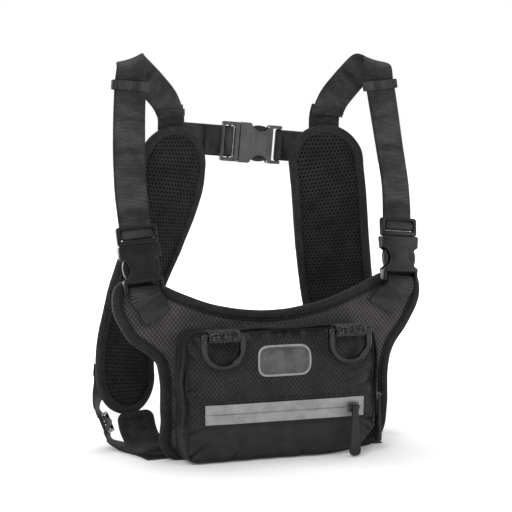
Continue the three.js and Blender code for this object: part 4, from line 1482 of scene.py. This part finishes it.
def arm_parts(sign):
    """A sprung arm with its ribbed thumb pad."""
    outline = [(11.5, -0.4), (15.5, -0.4), (16, -12)]
    outline += bezier((16, -12), (17.5, -14), (20.3, -17), (20.4, -24))
    outline += bezier((20.4, -24), (20.3, -31), (18.5, -35), (15.5, -35.5))
    outline += [(13.5, -35.5)] + bezier((13.5, -35.5), (14.5, -28), (14, -20), (12.5, -12))
    parts = [plate([outline], 3.1, 6.2, 0.7)]
    for z in (-20.5, -23, -25.5, -28):
        rib = Laid([(20.25 - abs(z + 24) * 0.09, y, z) for y in np.linspace(-2.4, 2.4, 5)], (1, 0, 0))
        parts.append(sweep(rib, superellipse(0.55, 0.4, 8, 2)))
    arm = merged(*parts)
    return arm if sign > 0 else turned_over(*arm)


def buckles():
    socket, plug, arms = socket_parts(), plug_parts(), (arm_parts(1), arm_parts(-1))
    kinds = (
        ("front", "_", FRONT_PLASTIC, FRONT, ("outer_arm", "inner_arm")),
        ("back", "", BACK_PLASTIC, BACK, ("upper_arm", "lower_arm")),
    )
    for where, end, plastic, matrix, names in kinds:
        moulding(f"{where}_socket_body{end}", moved(socket, matrix), plastic, f"{where}_socket{end}", "vest")
        moulding(f"{where}_plug_body{end}", moved(plug, matrix), plastic, f"{where}_plug{end}")
        for name, arm in zip(names, arms):
            made = moved(arm, matrix)
            moulding(f"{where}_{name}_spring{end}", made, FRONT_PLASTIC, f"{where}_plug_{name}{end}")


def moulding(name, made, material, node, body=None, slot="buckle_plastic"):
    """A hard part in place of a CAD node, on its body; a node that ends in _ has two sides."""
    for side, mirror in SIDES if node.endswith("_") else (("", False),):
        obj = piece(name + side, made, material, body or node + side, slot, [node + side], mirror)
        sharpen(obj.data)


def sharpen(mesh, angle=50):
    """Hard edges stay hard under smooth shading."""
    grid = bmesh.new()
    grid.from_mesh(mesh)
    for edge in grid.edges:
        if len(edge.link_faces) == 2:
            edge.smooth = edge.calc_face_angle(0) < math.radians(angle)
    grid.to_mesh(mesh)
    grid.free()


def rings():
    """D-rings with two raised edges, and the tabs of pile tape that hold them."""
    half, drop, band, thick = 25.4, 12, 6.8, 5.6
    bow = lambda r, top, count: [(r, top)] + arc((0, -drop), r, 0, -180, count) + [(-r, top)]
    parts = [plate([bow(half, 2.5, 28), bow(half - band, -2.5, 24)], thick / 2, thick, 1.5, 4)]
    for r in (half - 1.2, half - band + 1.2):
        edge = even(np.array([(x, -thick / 2 + 0.1, z) for x, z in bow(r, 2, 36)]), 1.2)[0]
        parts.append(sweep(Laid(edge, (0, -1, 0)), superellipse(0.55, 0.55, 10, 2)))
    matrix = turned(RING, (0, 0, 0))
    moulding("ring_", moved(merged(*parts), matrix), RING_PLASTIC, "d_ring_", slot="ring_plastic")
    tab = sweep(Line([(p, (1, 0, 0)) for p in RING_TAB], 1.0), web_section(WEBBING + 1, 2.0))
    both("ring_tape", moved(tab, matrix), PILE, "webbing", ["d_ring_tab_"])


def slider_parts():
    """A waisted slider with the posts and the bar of its bail; the bar is at the origin."""
    waist = [(x * (1 - 0.18 * math.exp(-((z / 3.0) ** 2))), z) for x, z in rounded(-7, -5.5, 14, 11, 3.5)]
    parts = [plate([waist], SLIDER_REACH + SLIDER_DEPTH, SLIDER_DEPTH, 0.8)]
    for x in (-4.6, 4.6):
        post = Laid([(x, y, z) for y, z in ((4.4, 1.6), (2.2, 1.5), (0.6, 1.0), (0, 0))], (1, 0, 0))
        parts.append(sweep(post, superellipse(1.1, 0.9, 10, 2)))
    return merged(*parts, bar(10.4, 0.95, 0.95, power=2))


def puller_parts(long=54):
    """A moulded tab with a raised lip on each face, and its eye round the bail."""
    foot = (6.8, -long + 7)
    sides = [(3.4, -1.6), foot] + bezier(foot, (7, -long + 2), (4.5, -long), (0, -long))
    tab = sides + other_half(sides[:-1])
    lip = [(x * 0.93, -1.6 + (z + 1.6) * 0.985 - 0.3) for x, z in tab]
    inside = [(x * 0.78, -5 + (z + 5) * 0.95) for x, z in lip if z < -5]
    lips = [plate([lip, inside], face, 0.6, 0.22, 2) for face in (-1.35, 1.95)]
    return merged(plate([tab], 1.4, 2.8, 0.9), ring_eye(), *lips)


def ring_eye(count=20):
    """The puller's eye round the bail: a short sleeve along x."""
    section = [(2.8, -3.3), (2.8, 3.3), (1.4, 3.3), (1.4, -3.3)]
    angles = np.linspace(0, 2 * math.pi, count, endpoint=False)
    points = [(x, r * math.sin(a), r * math.cos(a)) for a in angles for r, x in section]
    return outward((np.array(points), tube(count, len(section), closed=True)))


def pulls():
    """The two zips' sliders and pullers, each about its bail's bar along x."""
    out = 2 * 0.4 + 1.2 + SLIDER_DEPTH + SLIDER_REACH
    places = (
        ("front_zip", (80, POUCH["front"] - out, ZIP_Z), 0),
        ("main_zip", (POUCH["half"] + out, (-20 + POUCH["front"]) / 2, 66), 90),
    )
    slider, puller = slider_parts(), puller_parts()
    for name, at, spin in places:
        matrix = turned(at, (0, 0, spin))
        moulding(f"{name}_slider_body", moved(slider, matrix), METAL, f"{name}_slider", slot="zip_metal")
        moulding(f"{name}_puller_tab", moved(puller, matrix), RUBBER, f"{name}_puller", slot="puller_rubber")


def adjusters():
    """The three-bar slides."""
    slots = [rounded(-18.5, z - 3.5, 37, 7, 1.2) for z in (-5.1, 5.1)]
    made = merged(plate([rounded(-22, -12, 44, 24, 3.5), *slots], 2, 4, 1.1), bar(36, 0.4, 0.5, (0, -2.0, 0)))
    moulding("adjuster_", moved(made, SLIDE), FRONT_PLASTIC, "side_adjuster_")


# ---- Assembly ---------------------------------------------------------------------------------------
stage()
panel, panel_held = panel_pad()
pouch, pouch_held = pouch_start()
wing, wing_held, wing_line = band_pad(
    "wing_padded_left", WING_PATH, WING_WIDTH / 2, WING_DEPTH - 3, BINDING - 2, WING_WIDTH / 2, 3.6
)
tongue, tongue_held, tongue_line = band_pad(
    "tongue_padded_left", TONGUE_PATH, TONGUE_WIDTH / 2, 4.2, 4, TONGUE_CORNER, 3.0
)
inflate([
    (panel, PRESSURE, 4, panel_held), (pouch, PRESSURE, 7, pouch_held),
    (wing, PRESSURE, 3, wing_held), (tongue, PRESSURE, 2, tongue_held),
])
finish_panel(panel)
panel_trim(panel)
finish_pouch(pouch)
pouch_trim(pouch)
finish_band(wing, wing_line, "wing_pad", MESH)
band_edge("wing", wing_line, WING_WIDTH / 2, WING_WIDTH / 2, 4.9, ["wing_binding_"])
finish_band(tongue, tongue_line, "side_tongue", TERRY)
band_edge("tongue", tongue_line, TONGUE_WIDTH / 2, TONGUE_CORNER, 3.6)
lower_shoulder_webbing()
upper_shoulder_webbing()
sewn_tabs()
side_webbing()
back_webbing()
keepers()
buckles()
rings()
pulls()
adjusters()
